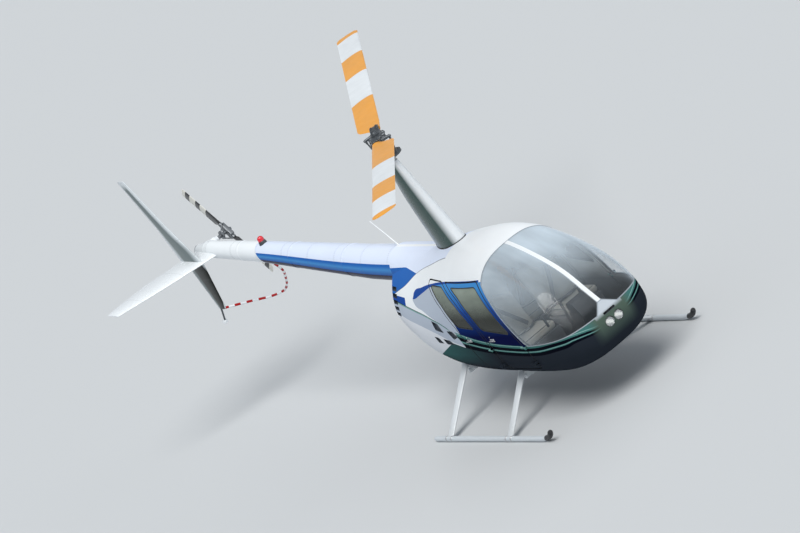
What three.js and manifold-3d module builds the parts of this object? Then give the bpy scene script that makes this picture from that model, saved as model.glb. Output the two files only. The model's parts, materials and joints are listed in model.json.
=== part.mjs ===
import * as THREE from 'three';
import { mergeVertices } from 'three/addons/utils/BufferGeometryUtils.js';
import Module from 'manifold-3d';

const wasm = await Module();
wasm.setup();

// Lengths in mm. While shaping, x runs forward from the main rotor mast, y to the left, z up from ground.
const GAP = 0.3;
const WALL = 28;
const GLASS = 7;
const DOOR_GAP = 12;
const SEAM_X = -60;
const BELT_Z = 600;

const MAST_HUB_Z = 3155;
const SHAFT_RADIUS = 34;
const ROTOR_RADIUS = 5030;
const ROTOR_CHORD = 270;
const ROTOR_AZIMUTH = 151.9;
const ROTOR_TEETER = 3.5;
const ROTOR_CONE = 2.9;

const TAIL_AXIS_X = -5890;
const TAIL_AXIS_Z = 1868;
const TAIL_DISC_Y = 392;
const TAIL_RADIUS = 737;
const TAIL_SHAFT_RADIUS = 22;
const TAIL_CHORD = 133;
const TAIL_BLADE_TILT = 39.5;

const SKID_Y = 1050;
const SKID_RADIUS = 30;

// Cabin and engine pod, nose to tail: half width, top, bottom, widest height, upper and lower roundness.
const HULL = [
  { x: 2540, half: 70, top: 830, bottom: 715, wide: 775, up: 2, low: 2 },
  { x: 2526, half: 265, top: 905, bottom: 640, wide: 775, up: 2.2, low: 2.2 },
  { x: 2465, half: 420, top: 985, bottom: 555, wide: 780, up: 2.4, low: 2.5 },
  { x: 2335, half: 530, top: 1125, bottom: 475, wide: 800, up: 2.6, low: 2.8 },
  { x: 2085, half: 610, top: 1392, bottom: 424, wide: 830, up: 2.75, low: 3.1 },
  { x: 1738, half: 642, top: 1603, bottom: 411, wide: 870, up: 2.85, low: 3.2 },
  { x: 1307, half: 650, top: 1782, bottom: 411, wide: 910, up: 2.85, low: 3.2 },
  { x: 900, half: 650, top: 1852, bottom: 414, wide: 940, up: 2.7, low: 3.1 },
  { x: 500, half: 646, top: 1852, bottom: 418, wide: 960, up: 2.4, low: 3 },
  { x: 100, half: 632, top: 1820, bottom: 426, wide: 990, up: 2.15, low: 2.8 },
  { x: -300, half: 600, top: 1785, bottom: 453, wide: 1020, up: 1.9, low: 2.6 },
  { x: -700, half: 545, top: 1755, bottom: 536, wide: 1080, up: 1.7, low: 2.4 },
  { x: -1000, half: 475, top: 1735, bottom: 690, wide: 1150, up: 1.6, low: 2.3 },
  { x: -1150, half: 430, top: 1725, bottom: 790, wide: 1200, up: 1.55, low: 2.3 },
];
const RING_POINTS = 26;
const RINGS_PER_STATION = 1;

// Tail boom, front to rear: centre height and radius.
const BOOM = [
  { x: -950, z: 1578, radius: 206 },
  { x: -1900, z: 1620, radius: 190 },
  { x: -4400, z: 1823, radius: 119 },
  { x: -5640, z: 1892, radius: 96 },
];
const DECK = [
  { x: 140, z: 1540, radius: 206 },
  { x: -300, z: 1572, radius: 218 },
  { x: -1150, z: 1584, radius: 224 },
];
const BOOM_WALL = 6;
const BOOM_SIDES = 20;

// Door outlines and window outlines in side view.
const FRONT_DOOR = [
  [1215, 1632], [1300, 1520], [1440, 1310], [1580, 1060], [1660, 900], [1712, 760], [1702, 665],
  [1650, 604], [1026, 604], [1021, 800], [993, 955], [935, 1165], [852, 1330], [737, 1482], [515, 1632],
];
const FRONT_WINDOW = [
  [1182, 1592], [1262, 1494], [1398, 1300], [1530, 1092], [1506, 1062], [1036, 1120], [992, 1142],
  [957, 1200], [885, 1342], [768, 1496], [628, 1592],
];
const REAR_DOOR = [
  [400, 1632], [663, 1438], [788, 1290], [875, 1135], [937, 945], [969, 800], [974, 604], [548, 604],
  [534, 750], [505, 950], [425, 1170], [275, 1385], [30, 1590], [62, 1632],
];
const REAR_WINDOW = [
  [400, 1592], [640, 1412], [766, 1262], [832, 1152], [812, 1136], [520, 1164], [480, 1180],
  [444, 1220], [303, 1410], [104, 1576], [128, 1592],
];
const WINDSHIELD = [
  [1300, 1950], [1300, 1604], [1402, 1460], [1532, 1240], [1655, 1030], [1715, 935], [1760, 905],
  [2700, 905], [2700, 1950],
];
// Door hinges: upright axis, and at each height the span of the post that carries the knuckles.
const HINGES = {
  front: {
    x: 1718, y: 660, arm: 1640,
    heights: [{ z: 690, x0: 1719, x1: 1746 }, { z: 900, x0: 1690, x1: 1722 }],
  },
  rear: {
    x: 980, y: 668, arm: 925,
    heights: [{ z: 670, x0: 985, x1: 1008 }, { z: 880, x0: 972, x1: 992 }],
  },
};
const KNUCKLE_RADIUS = 8;
// Front view of the nose cap under the foot of the post.
const NOSE_CAP = [[-160, 700], [160, 700], [160, 892], [27, 1000], [-27, 1000], [-160, 892]];
const LAMPS = [
  { name: 'right', y: -62, z: 785 },
  { name: 'left', y: 62, z: 785 },
];
const LAMP_RADIUS = 56;
// Air inlets in each side wall, as side-view outlines, and how deep they are sunk.
const LOUVRES = [
  [[-112, 1230], [22, 1203], [78, 1092], [-100, 1122]],
  [[168, 1118], [290, 1116], [372, 1046], [236, 1012]],
  [[-240, 1038], [-136, 1026], [-82, 954], [-208, 957]],
  [[-36, 1016], [112, 999], [176, 941], [-10, 947]],
];
const LOUVRE_DEPTH = 18;

function catmullRom(values, s) {
  const last = values.length - 1;
  const i = Math.min(Math.floor(s), last - 1);
  const t = s - i;
  const p1 = values[i];
  const p2 = values[i + 1];
  const p0 = i > 0 ? values[i - 1] : 2 * p1 - p2;
  const p3 = i + 2 <= last ? values[i + 2] : 2 * p2 - p1;
  const a = 2 * p1;
  const b = p2 - p0;
  const c = 2 * p0 - 5 * p1 + 4 * p2 - p3;
  const d = 3 * p1 - p0 - 3 * p2 + p3;
  return 0.5 * (a + b * t + c * t * t + d * t * t * t);
}

function hullField(name, s) {
  return catmullRom(HULL.map((station) => station[name]), s);
}

function hullPoint(s, angle) {
  const cos = Math.cos(angle);
  const sin = Math.sin(angle);
  const power = 2 / (sin >= 0 ? hullField('up', s) : hullField('low', s));
  const wide = hullField('wide', s);
  const reach = sin >= 0 ? hullField('top', s) - wide : wide - hullField('bottom', s);
  const y = Math.sign(cos) * hullField('half', s) * Math.abs(cos) ** power;
  const z = wide + Math.sign(sin) * reach * Math.abs(sin) ** power;
  return new THREE.Vector3(hullField('x', s), y, z);
}

function hullNormal(s, angle) {
  const last = HULL.length - 1;
  const ds = 0.02;
  const da = 0.02;
  const s0 = Math.max(0, s - ds);
  const s1 = Math.min(last, s + ds);
  const along = hullPoint(s1, angle).sub(hullPoint(s0, angle));
  const around = hullPoint(s, angle + da).sub(hullPoint(s, angle - da));
  return along.cross(around).normalize();
}

function manifoldOf(geometry) {
  const bare = geometry.clone();
  bare.deleteAttribute('normal');
  bare.deleteAttribute('uv');
  const merged = mergeVertices(bare, 1e-4);
  const mesh = new wasm.Mesh({
    numProp: 3,
    vertProperties: new Float32Array(merged.attributes.position.array),
    triVerts: new Uint32Array(merged.index.array),
  });
  return new wasm.Manifold(mesh);
}

function geometryOf(manifold) {
  const mesh = manifold.getMesh();
  const count = mesh.vertProperties.length / mesh.numProp;
  const positions = new Float32Array(count * 3);
  for (let i = 0; i < count; i += 1) {
    positions[3 * i] = mesh.vertProperties[i * mesh.numProp];
    positions[3 * i + 1] = mesh.vertProperties[i * mesh.numProp + 1];
    positions[3 * i + 2] = mesh.vertProperties[i * mesh.numProp + 2];
  }
  const geometry = new THREE.BufferGeometry();
  geometry.setAttribute('position', new THREE.BufferAttribute(positions, 3));
  geometry.setIndex(new THREE.BufferAttribute(new Uint32Array(mesh.triVerts), 1));
  return geometry;
}

// Closed body through rings of equal point counts, with flat fan ends.
function loft(rings) {
  const positions = [];
  const index = [];
  const n = rings[0].length;
  rings.forEach((ring) => ring.forEach((p) => positions.push(p.x, p.y, p.z)));
  for (let r = 0; r + 1 < rings.length; r += 1) {
    for (let i = 0; i < n; i += 1) {
      const a = r * n + i;
      const b = r * n + ((i + 1) % n);
      index.push(a, b, b + n, a, b + n, a + n);
    }
  }
  [0, rings.length - 1].forEach((r) => {
    const centre = rings[r].reduce((sum, p) => sum.add(p), new THREE.Vector3()).divideScalar(n);
    const hub = positions.length / 3;
    positions.push(centre.x, centre.y, centre.z);
    for (let i = 0; i < n; i += 1) {
      const a = r * n + i;
      const b = r * n + ((i + 1) % n);
      index.push(...(r === 0 ? [hub, b, a] : [hub, a, b]));
    }
  });
  const geometry = new THREE.BufferGeometry();
  geometry.setAttribute('position', new THREE.BufferAttribute(new Float32Array(positions), 3));
  geometry.setIndex(index);
  const body = manifoldOf(geometry);
  if (body.volume() > 0) {
    return body;
  }
  const flipped = [];
  for (let i = 0; i < index.length; i += 3) {
    flipped.push(index[i], index[i + 2], index[i + 1]);
  }
  geometry.setIndex(flipped);
  return manifoldOf(geometry);
}

function hullSolid(inset, rearExtra = 0) {
  const rings = [];
  const steps = (HULL.length - 1) * RINGS_PER_STATION;
  for (let i = 0; i <= steps; i += 1) {
    const s = i / RINGS_PER_STATION;
    const ring = [];
    for (let k = 0; k < RING_POINTS; k += 1) {
      const angle = ((k + 0.5) / RING_POINTS) * 2 * Math.PI;
      const point = hullPoint(s, angle);
      point.addScaledVector(hullNormal(s, angle), -inset);
      ring.push(point);
    }
    rings.push(ring);
  }
  const nose = rings[0];
  nose.forEach((p) => {
    p.x = HULL[0].x - inset;
  });
  const rear = rings[rings.length - 1];
  rear.forEach((p) => {
    p.x = HULL[HULL.length - 1].x;
  });
  if (rearExtra !== 0) {
    rings.push(rear.map((p) => new THREE.Vector3(p.x - rearExtra, p.y, p.z)));
  }
  return loft(rings);
}

function ringAround(x, z, radius, sides) {
  const ring = [];
  for (let k = 0; k < sides; k += 1) {
    const angle = (k / sides) * 2 * Math.PI;
    ring.push(new THREE.Vector3(x, radius * Math.cos(angle), z + radius * Math.sin(angle)));
  }
  return ring;
}

// Hull with the raised round deck that runs back from the mast to the boom.
function podSolid(inset, rearExtra = 0) {
  const rings = DECK.map((station) => ringAround(station.x, station.z, station.radius - inset, BOOM_SIDES));
  if (rearExtra !== 0) {
    const end = DECK[DECK.length - 1];
    rings.push(ringAround(end.x - rearExtra, end.z, end.radius - inset, BOOM_SIDES));
  }
  return hullSolid(inset, rearExtra).add(loft(rings));
}

function shapeOf(points) {
  return new THREE.Shape(points.map(([x, y]) => new THREE.Vector2(x, y)));
}

// Side-view outline, carried across from one y to another.
function prismY(points, from, to) {
  const settings = { depth: to - from, bevelEnabled: false, steps: 1 };
  const geometry = new THREE.ExtrudeGeometry(shapeOf(points), settings);
  geometry.rotateX(Math.PI / 2);
  geometry.translate(0, to, 0);
  return manifoldOf(geometry);
}

// Front-view outline, carried forward from one x to another.
function prismX(points, from, to) {
  const settings = { depth: to - from, bevelEnabled: false, steps: 1 };
  const geometry = new THREE.ExtrudeGeometry(shapeOf(points), settings);
  geometry.rotateX(Math.PI / 2);
  geometry.rotateZ(Math.PI / 2);
  geometry.translate(from, 0, 0);
  return manifoldOf(geometry);
}

function block(x0, x1, y0, y1, z0, z1) {
  const geometry = new THREE.BoxGeometry(x1 - x0, y1 - y0, z1 - z0);
  geometry.translate((x0 + x1) / 2, (y0 + y1) / 2, (z0 + z1) / 2);
  return manifoldOf(geometry);
}

// Round bar or cone frustum between two points.
function rod(from, to, radius, sides = 12, endRadius = radius) {
  const a = new THREE.Vector3(...from);
  const b = new THREE.Vector3(...to);
  const geometry = new THREE.CylinderGeometry(endRadius, radius, a.distanceTo(b), sides);
  const turn = new THREE.Quaternion().setFromUnitVectors(
    new THREE.Vector3(0, 1, 0),
    b.clone().sub(a).normalize(),
  );
  geometry.applyQuaternion(turn);
  const middle = a.clone().add(b).multiplyScalar(0.5);
  geometry.translate(middle.x, middle.y, middle.z);
  return manifoldOf(geometry);
}

// Round tube bent along a smooth line through the points.
function bentTube(points, radius, steps, sides = 12) {
  const path = new THREE.CatmullRomCurve3(points.map((p) => new THREE.Vector3(...p)), false, 'centripetal');
  const circle = [];
  for (let i = 0; i < sides; i += 1) {
    const angle = (i / sides) * 2 * Math.PI;
    circle.push([radius * Math.cos(angle), radius * Math.sin(angle)]);
  }
  const settings = { steps, extrudePath: path, bevelEnabled: false };
  return manifoldOf(new THREE.ExtrudeGeometry(shapeOf(circle), settings));
}

function union(bodies) {
  return bodies.reduce((sum, body) => sum.add(body));
}

// Outline grown outward (or shrunk, if negative) by mitring its edges.
function grown(points, amount) {
  const n = points.length;
  let area = 0;
  points.forEach(([x, y], i) => {
    const [nx, ny] = points[(i + 1) % n];
    area += x * ny - nx * y;
  });
  const side = area > 0 ? 1 : -1;
  return points.map(([x, y], i) => {
    const [px, py] = points[(i + n - 1) % n];
    const [qx, qy] = points[(i + 1) % n];
    const a = new THREE.Vector2(x - px, y - py).normalize();
    const b = new THREE.Vector2(qx - x, qy - y).normalize();
    const na = new THREE.Vector2(a.y, -a.x).multiplyScalar(side);
    const nb = new THREE.Vector2(b.y, -b.x).multiplyScalar(side);
    const mitre = na.clone().add(nb).normalize();
    const reach = amount / Math.max(0.35, mitre.dot(na));
    return [x + mitre.x * reach, y + mitre.y * reach];
  });
}

// Streamlined outline, nose forward, thickest at a third.
function teardrop(front, rear, half, count = 9) {
  const points = [];
  for (let i = 0; i < count; i += 1) {
    const u = (i / (count - 1)) ** 1.5;
    const y = half * 2.43 * (Math.sqrt(u) * 1.18 - 0.62 * u - 0.56 * u * u);
    points.push([front + (rear - front) * u, Math.max(y, i === 0 ? 0 : half * 0.06)]);
  }
  const lower = points.slice(1).reverse().map(([x, y]) => [x, -y]);
  return points.concat(lower);
}

const group = new THREE.Group();
const bodies = [];

function add(name, manifold, color, roughness, metalness) {
  bodies.push({ name, manifold, color, roughness, metalness });
}

const outerHull = podSolid(0);
const innerHull = podSolid(WALL, 80);
const shell = outerHull.subtract(innerHull);
const glassShell = outerHull.subtract(hullSolid(GLASS, 80));
const paneShell = hullSolid(2).subtract(hullSolid(2 + GLASS, 80));
const clearHull = podSolid(-GAP, -1);

// Doors on both sides: one panel as thick as the wall, its window pane held in the opening.
const DOORS = [
  { name: 'front', outline: FRONT_DOOR, window: FRONT_WINDOW },
  { name: 'rear', outline: REAR_DOOR, window: REAR_WINDOW },
];
const SIDES = [
  { name: 'right', y0: -900, y1: -150, sign: -1 },
  { name: 'left', y0: 150, y1: 900, sign: 1 },
];
function sideBlock(sign, x0, x1, y0, y1, z0, z1) {
  return sign > 0 ? block(x0, x1, y0, y1, z0, z1) : block(x0, x1, -y1, -y0, z0, z1);
}
function doorKnuckles(hinge, sign) {
  return union(hinge.heights.flatMap(({ z }) => [
    rod([hinge.x, sign * hinge.y, z - 10], [hinge.x, sign * hinge.y, z + 10], KNUCKLE_RADIUS, 6),
    sideBlock(sign, hinge.arm - 15, hinge.x, hinge.y - 4, hinge.y + 4, z - 10, z + 10),
    sideBlock(sign, hinge.arm - 15, hinge.arm + 12, hinge.y - 60, hinge.y, z - 10, z + 10),
  ]));
}
function postKnuckles(hinge, sign) {
  return union(hinge.heights.flatMap(({ z, x0, x1 }) => [[z + 10 + GAP, z + 26], [z - 26, z - 10 - GAP]]
    .flatMap(([z0, z1]) => [
      rod([hinge.x, sign * hinge.y, z0], [hinge.x, sign * hinge.y, z1], KNUCKLE_RADIUS, 6),
      sideBlock(sign, Math.min(x0, hinge.x), Math.max(x1, hinge.x), hinge.y - 5, hinge.y + 4, z0, z1),
      sideBlock(sign, x0, x1, hinge.y - 60, hinge.y, z0, z1),
    ])));
}
const knuckles = [];
const openings = [];
DOORS.forEach((door) => {
  SIDES.forEach((side) => {
    openings.push(prismY(grown(door.outline, DOOR_GAP), side.y0, side.y1));
    const panel = shell.intersect(prismY(door.outline, side.y0, side.y1));
    const hole = prismY(door.window, side.y0, side.y1);
    const pane = paneShell.intersect(prismY(grown(door.window, -GAP), side.y0, side.y1));
    const hinge = HINGES[door.name];
    const leaf = panel.subtract(hole).add(doorKnuckles(hinge, side.sign));
    knuckles.push(postKnuckles(hinge, side.sign));
    add(`${door.name}_door_${side.name}`, leaf, 0x1c3a5c, 0.3, 0.2);
    add(`${door.name}_window_${side.name}`, pane, 0x8fa0a8, 0.05, 0);
  });
});
const doorOpenings = union(openings);
const louvreCuts = union(LOUVRES.map((outline) => prismY(outline, -900, 900)))
  .subtract(podSolid(LOUVRE_DEPTH, 80));

// Windshield halves and the centre post between them.
const POST_HALF = 24;
const noseCap = prismX(NOSE_CAP, 2200, 2700);
const noseCapClear = prismX(grown(NOSE_CAP, GAP), 2200, 2700);
const windshieldCut = prismY(WINDSHIELD, -900, 900).subtract(noseCap);
const windshieldFill = prismY(grown(WINDSHIELD, -GAP), -900, 900).subtract(noseCapClear);
const windshieldPane = paneShell.intersect(windshieldFill);
const rightHalf = block(1000, 2700, -900, -POST_HALF - GAP, 0, 2200);
const leftHalf = block(1000, 2700, POST_HALF + GAP, 900, 0, 2200);
add('windshield_right', windshieldPane.intersect(rightHalf), 0x9fb0b6, 0.05, 0);
add('windshield_left', windshieldPane.intersect(leftHalf), 0x9fb0b6, 0.05, 0);
const postSkin = outerHull.subtract(hullSolid(20, 80));
const post = postSkin.intersect(windshieldFill)
  .intersect(block(1000, 2700, -POST_HALF, POST_HALF, 0, 2200));
add('windshield_post', post, 0xe9eef2, 0.35, 0.1);

// Lower nose and belly below the belt, and the roof with its posts above it.
const FRAME_REGION = [[SEAM_X, 2100], [SEAM_X, BELT_Z], [1800, BELT_Z], [1800, 2100]];
const forward = block(SEAM_X, 2700, -900, 900, 0, 2100);
const frameRegion = prismY(FRAME_REGION, -900, 900);
const hollow = windshieldCut.add(doorOpenings);
const frame = shell.intersect(frameRegion).subtract(hollow).subtract(louvreCuts).add(union(knuckles));
const lampHoles = union(LAMPS.map((lamp) => (
  rod([2300, lamp.y, lamp.z], [2700, lamp.y, lamp.z], LAMP_RADIUS, 16)
)));
const tub = shell.intersect(forward).subtract(prismY(grown(FRAME_REGION, GAP), -900, 900))
  .subtract(hollow).subtract(lampHoles);
add('cabin_tub', tub, 0x4d5f66, 0.35, 0.5);
add('cabin_frame', frame, 0xe6edf2, 0.3, 0.2);

// Landing lamps in the nose.
LAMPS.forEach((place) => {
  const body = rod([2440, place.y, place.z], [2528, place.y, place.z], LAMP_RADIUS - GAP, 16);
  const dome = rod([2528, place.y, place.z], [2538, place.y, place.z], 50, 16, 38);
  add(`landing_lamp_${place.name}`, body.add(dome), 0xdfe6e6, 0.1, 0.6);
});

// Engine cowl: hull skin behind the seam, open at the rear, with side louvres and rear slots.
function boomBody(grow, ahead, behind) {
  const rings = BOOM.map((station) => ringAround(station.x, station.z, station.radius + grow, BOOM_SIDES));
  if (ahead > 0) {
    rings.unshift(ringAround(BOOM[0].x + ahead, BOOM[0].z, BOOM[0].radius + grow, BOOM_SIDES));
  }
  if (behind > 0) {
    const end = BOOM[BOOM.length - 1];
    rings.push(ringAround(end.x - behind, end.z, end.radius + grow, BOOM_SIDES));
  }
  return loft(rings);
}
const boomSolid = boomBody(0, 0, 0);
const boomBore = boomBody(-BOOM_WALL, 60, 0).intersect(block(-5500, 0, -400, 400, 0, 3000));
const boomCut = boomBody(GAP, GAP, 60);

const REAR_SLOTS = [1210, 1272, 1334, 1396, 1458];
const slotCuts = REAR_SLOTS.map((z) => block(-1142, -1005, -900, 900, z, z + 40));
const EXHAUST = { x: -640, y: 190, radius: 38 };
const exhaustHole = rod([EXHAUST.x, EXHAUST.y, 500], [EXHAUST.x, EXHAUST.y, 900], EXHAUST.radius + 6, 12);
const cowl = shell.intersect(block(-1300, SEAM_X - GAP, -900, 900, 0, 2100))
  .subtract(union([louvreCuts, ...slotCuts, boomCut, exhaustHole]));
add('engine_cowl', cowl, 0xeef2f4, 0.3, 0.15);

const plateHull = podSolid(WALL + GAP, 80);
const rearPlate = plateHull.intersect(block(-1062, -1050, -900, 900, 0, 2100)).subtract(boomCut);
add('rear_grille', rearPlate, 0x15181b, 0.7, 0.2);
const firewall = plateHull.intersect(block(SEAM_X + 4, SEAM_X + 16, -900, 900, 0, 2100));
add('firewall', firewall, 0x8d9498, 0.5, 0.5);

const engineFeet = [-330, -790].flatMap((x) => (
  [-150, 150].map((y) => block(x - 30, x + 30, y - 30, y + 30, 400, 760))
));
const engine = union([block(-880, -230, -400, 400, 740, 1130), ...engineFeet]).intersect(plateHull);
add('engine_block', engine, 0x6f7478, 0.6, 0.6);

const exhaust = rod([EXHAUST.x, EXHAUST.y, 560], [EXHAUST.x, EXHAUST.y, 740 - GAP], EXHAUST.radius, 12)
  .subtract(rod([EXHAUST.x, EXHAUST.y, 500], [EXHAUST.x, EXHAUST.y, 720], EXHAUST.radius - 3, 12));
add('exhaust_pipe', exhaust, 0x6b6259, 0.5, 0.8);

// Seats: boxes on the floor, cushions and backs.
const floorHull = hullSolid(WALL + GAP, 80);
const FLOOR_Z = 505;
const seatBoxes = union([
  block(1000, 1420, -535, -60, 400, 760),
  block(1000, 1420, 60, 535, 400, 760),
  block(300, 780, -535, 535, 400, 760),
  block(700, 1100, -300, 300, 400, FLOOR_Z + 20),
]).intersect(floorHull);
add('seat_boxes', seatBoxes, 0x565b5f, 0.6, 0.1);
const SEATS = [
  { name: 'front_seat_right', x: 1010, y0: -545, y1: -75, rake: 0.2, height: 560 },
  { name: 'front_seat_left', x: 1010, y0: 75, y1: 545, rake: 0.2, height: 560 },
  { name: 'rear_seat', x: 385, y0: -520, y1: 520, rake: 0.24, height: 560 },
];
SEATS.forEach((seat) => {
  const depth = seat.name === 'rear_seat' ? 390 : 400;
  const cushion = block(seat.x, seat.x + depth, seat.y0, seat.y1, 760 + GAP, 865);
  const lean = seat.rake * seat.height;
  const back = prismY([
    [seat.x - GAP, 765], [seat.x - GAP - lean, 765 + seat.height],
    [seat.x - GAP - lean - 85, 755 + seat.height], [seat.x - GAP - 85, 765],
  ], seat.y0 + 5, seat.y1 - 5);
  add(`${seat.name}_cushion`, cushion, 0x7d8286, 0.85, 0);
  add(`${seat.name}_back`, back.intersect(floorHull), 0x7d8286, 0.85, 0);
});

// Instrument console and the control column with its cross bar.
const CONSOLE = [
  [1700, 420], [2050, 420], [2180, 900], [2100, 1060], [1990, 1075], [1930, 900], [1800, 760], [1700, 700],
];
const instruments = prismY(CONSOLE, -130, 130).intersect(floorHull);
add('instrument_console', instruments, 0x24282b, 0.6, 0.1);
const column = union([
  rod([1560, 0, 500], [1600, 0, 1010], 16, 12),
  rod([1600, -260, 1010], [1600, 260, 1010], 12, 12),
  rod([1600, -255, 1015], [1600, -255, 880], 15, 12),
  rod([1600, 255, 1015], [1600, 255, 880], 15, 12),
  block(1500, 1640, -60, 60, 400, 540),
]).intersect(floorHull);
add('cyclic_column', column, 0x1b1d1f, 0.5, 0.3);

// Mast fairing: streamlined tower from the roof to just under the swashplate.
const FAIRING = [
  { z: 1700, front: 432, rear: -243, half: 125 },
  { z: 1850, front: 388, rear: -246, half: 118 },
  { z: 2400, front: 220, rear: -256, half: 86 },
  { z: 2868, front: 78, rear: -186, half: 56 },
];
const fairingRings = FAIRING.map((level) => teardrop(level.front, level.rear, level.half)
  .map(([x, y]) => new THREE.Vector3(x, y, level.z)));
const mastBore = union([
  rod([0, 0, 2770], [0, 0, 2900], 45, 14),
  rod([0, 0, 2700], [0, 0, 2790], SHAFT_RADIUS + 1.2, 14),
]);
const fairing = loft(fairingRings).subtract(clearHull).subtract(mastBore);
add('mast_fairing', fairing, 0xdfe6ea, 0.3, 0.2);

// Main rotor: shaft, swashplate, links and teetering hub, whose coned blades rest on one side.
function aroundMast(body) {
  return body.rotate([0, 0, ROTOR_AZIMUTH]);
}
function onTeeter(body) {
  return body.rotate([0, ROTOR_TEETER, 0]).translate([0, 0, MAST_HUB_Z]);
}
function coned(body) {
  return body.rotate([0, -ROTOR_CONE, 0]);
}
function teeterPoint(x, y, z) {
  const tilt = THREE.MathUtils.degToRad(ROTOR_TEETER);
  const point = new THREE.Vector3(x, y, z).applyAxisAngle(new THREE.Vector3(0, 1, 0), tilt);
  return [point.x, point.y, point.z + MAST_HUB_Z];
}
const HUB_HALF = 400;
const grip = rod([0, 0, 0], [HUB_HALF, 0, 0], 46, 14);
const hubParts = [
  rod([0, 0, 2712], [0, 0, MAST_HUB_Z + 40], SHAFT_RADIUS, 14),
  rod([0, 0, 2915], [0, 0, 2950], 150, 20),
  rod([0, 0, 2945], [0, 0, 2990], 75, 14),
  rod([0, 0, MAST_HUB_Z + 25], [0, 0, MAST_HUB_Z + 105], 48, 14, 30),
  onTeeter(union([
    block(-190, 190, -62, 62, -45, 45),
    rod([0, -95, 0], [0, 95, 0], 30, 10),
    coned(grip),
    coned(grip).rotate([0, 0, 180]),
  ])),
];
[1, -1].forEach((k) => {
  const horn = teeterPoint(k * 235, k * 140, 4);
  hubParts.push(rod(teeterPoint(k * 250, 0, 12), horn, 20, 8));
  hubParts.push(rod([k * 100, k * 100, 2932], horn, 12, 6));
});
add('main_rotor_hub', aroundMast(union(hubParts)), 0x3c4043, 0.45, 0.8);

const BLADE = [
  { r: HUB_HALF + GAP, chord: 120, thick: 62, lead: 60 },
  { r: 520, chord: 190, thick: 40, lead: 62 },
  { r: 700, chord: ROTOR_CHORD, thick: 33, lead: 68 },
  { r: 2800, chord: ROTOR_CHORD, thick: 31, lead: 68 },
  { r: ROTOR_RADIUS - 60, chord: ROTOR_CHORD, thick: 30, lead: 68 },
  { r: ROTOR_RADIUS, chord: ROTOR_CHORD * 0.8, thick: 14, lead: 40 },
];
function bladeBody(stations) {
  const rings = stations.map((station) => {
    const outline = teardrop(station.lead, station.lead - station.chord, station.thick / 2);
    return outline.map(([x, y]) => new THREE.Vector3(station.r, -x, y));
  });
  return loft(rings);
}
const bladeShape = bladeBody(BLADE);
['1', '2'].forEach((number, i) => {
  const blade = onTeeter(coned(bladeShape).rotate([0, 0, 180 * i]));
  add(`main_blade_${number}`, aroundMast(blade), 0xf2d089, 0.35, 0.2);
});

// Tail boom, gearbox, tail rotor on the left side.
add('tail_boom', boomSolid.subtract(boomBore), 0xdde6f2, 0.25, 0.3);
const lastBoom = BOOM[BOOM.length - 1];
const GEARBOX = { front: 94, rear: 72, x: -5930, z: 1880 };
const tailShaftBore = rod(
  [TAIL_AXIS_X, 212, TAIL_AXIS_Z],
  [TAIL_AXIS_X, 260, TAIL_AXIS_Z],
  TAIL_SHAFT_RADIUS + 1.1,
  12,
);
const gearbox = union([
  rod([lastBoom.x - GAP, 0, lastBoom.z], [GEARBOX.x, 0, GEARBOX.z], GEARBOX.front, 16, GEARBOX.rear),
  rod([GEARBOX.x, 0, GEARBOX.z], [GEARBOX.x - 34, 0, GEARBOX.z], GEARBOX.rear, 16, 38),
  rod([TAIL_AXIS_X, 0, TAIL_AXIS_Z], [TAIL_AXIS_X, 240, TAIL_AXIS_Z], 46, 12),
]).subtract(tailShaftBore);
add('tail_gearbox', gearbox.subtract(boomBody(GAP, 0, GAP)), 0xe6e9ec, 0.35, 0.3);
function aroundTail(body) {
  return body.rotate([0, -TAIL_BLADE_TILT, 0]).translate([TAIL_AXIS_X, TAIL_DISC_Y, TAIL_AXIS_Z]);
}
const tailHub = union([
  rod([0, 218 - TAIL_DISC_Y, 0], [0, 40, 0], TAIL_SHAFT_RADIUS, 12),
  block(-50, 50, -26, 26, -90, 90),
  rod([0, 0, -120], [0, 0, 120], 24, 10),
  rod([0, -95, 0], [0, -75, 0], 52, 14),
  rod([60, -8, 80], [45, -85, 20], 9, 6),
  rod([-60, -8, -80], [-45, -85, -20], 9, 6),
  rod([0, -8, 80], [60, -8, 80], 11, 6),
  rod([0, -8, -80], [-60, -8, -80], 11, 6),
]);
add('tail_rotor_hub', aroundTail(tailHub), 0x6a6f73, 0.45, 0.7);
const TAIL_BLADE = [
  { r: 120 + GAP, chord: 60, thick: 34, lead: 30 },
  { r: 190, chord: TAIL_CHORD, thick: 18, lead: 45 },
  { r: TAIL_RADIUS - 15, chord: TAIL_CHORD, thick: 15, lead: 45 },
  { r: TAIL_RADIUS, chord: TAIL_CHORD * 0.85, thick: 8, lead: 36 },
];
const tailBladeShape = loft(TAIL_BLADE.map((station) => {
  const outline = teardrop(station.lead, station.lead - station.chord, station.thick / 2);
  return outline.map(([x, y]) => new THREE.Vector3(x, y, station.r));
}));
add('tail_blade_1', aroundTail(tailBladeShape), 0x17181a, 0.45, 0.2);
add('tail_blade_2', aroundTail(tailBladeShape.rotate([0, 180, 0])), 0x17181a, 0.45, 0.2);

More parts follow.
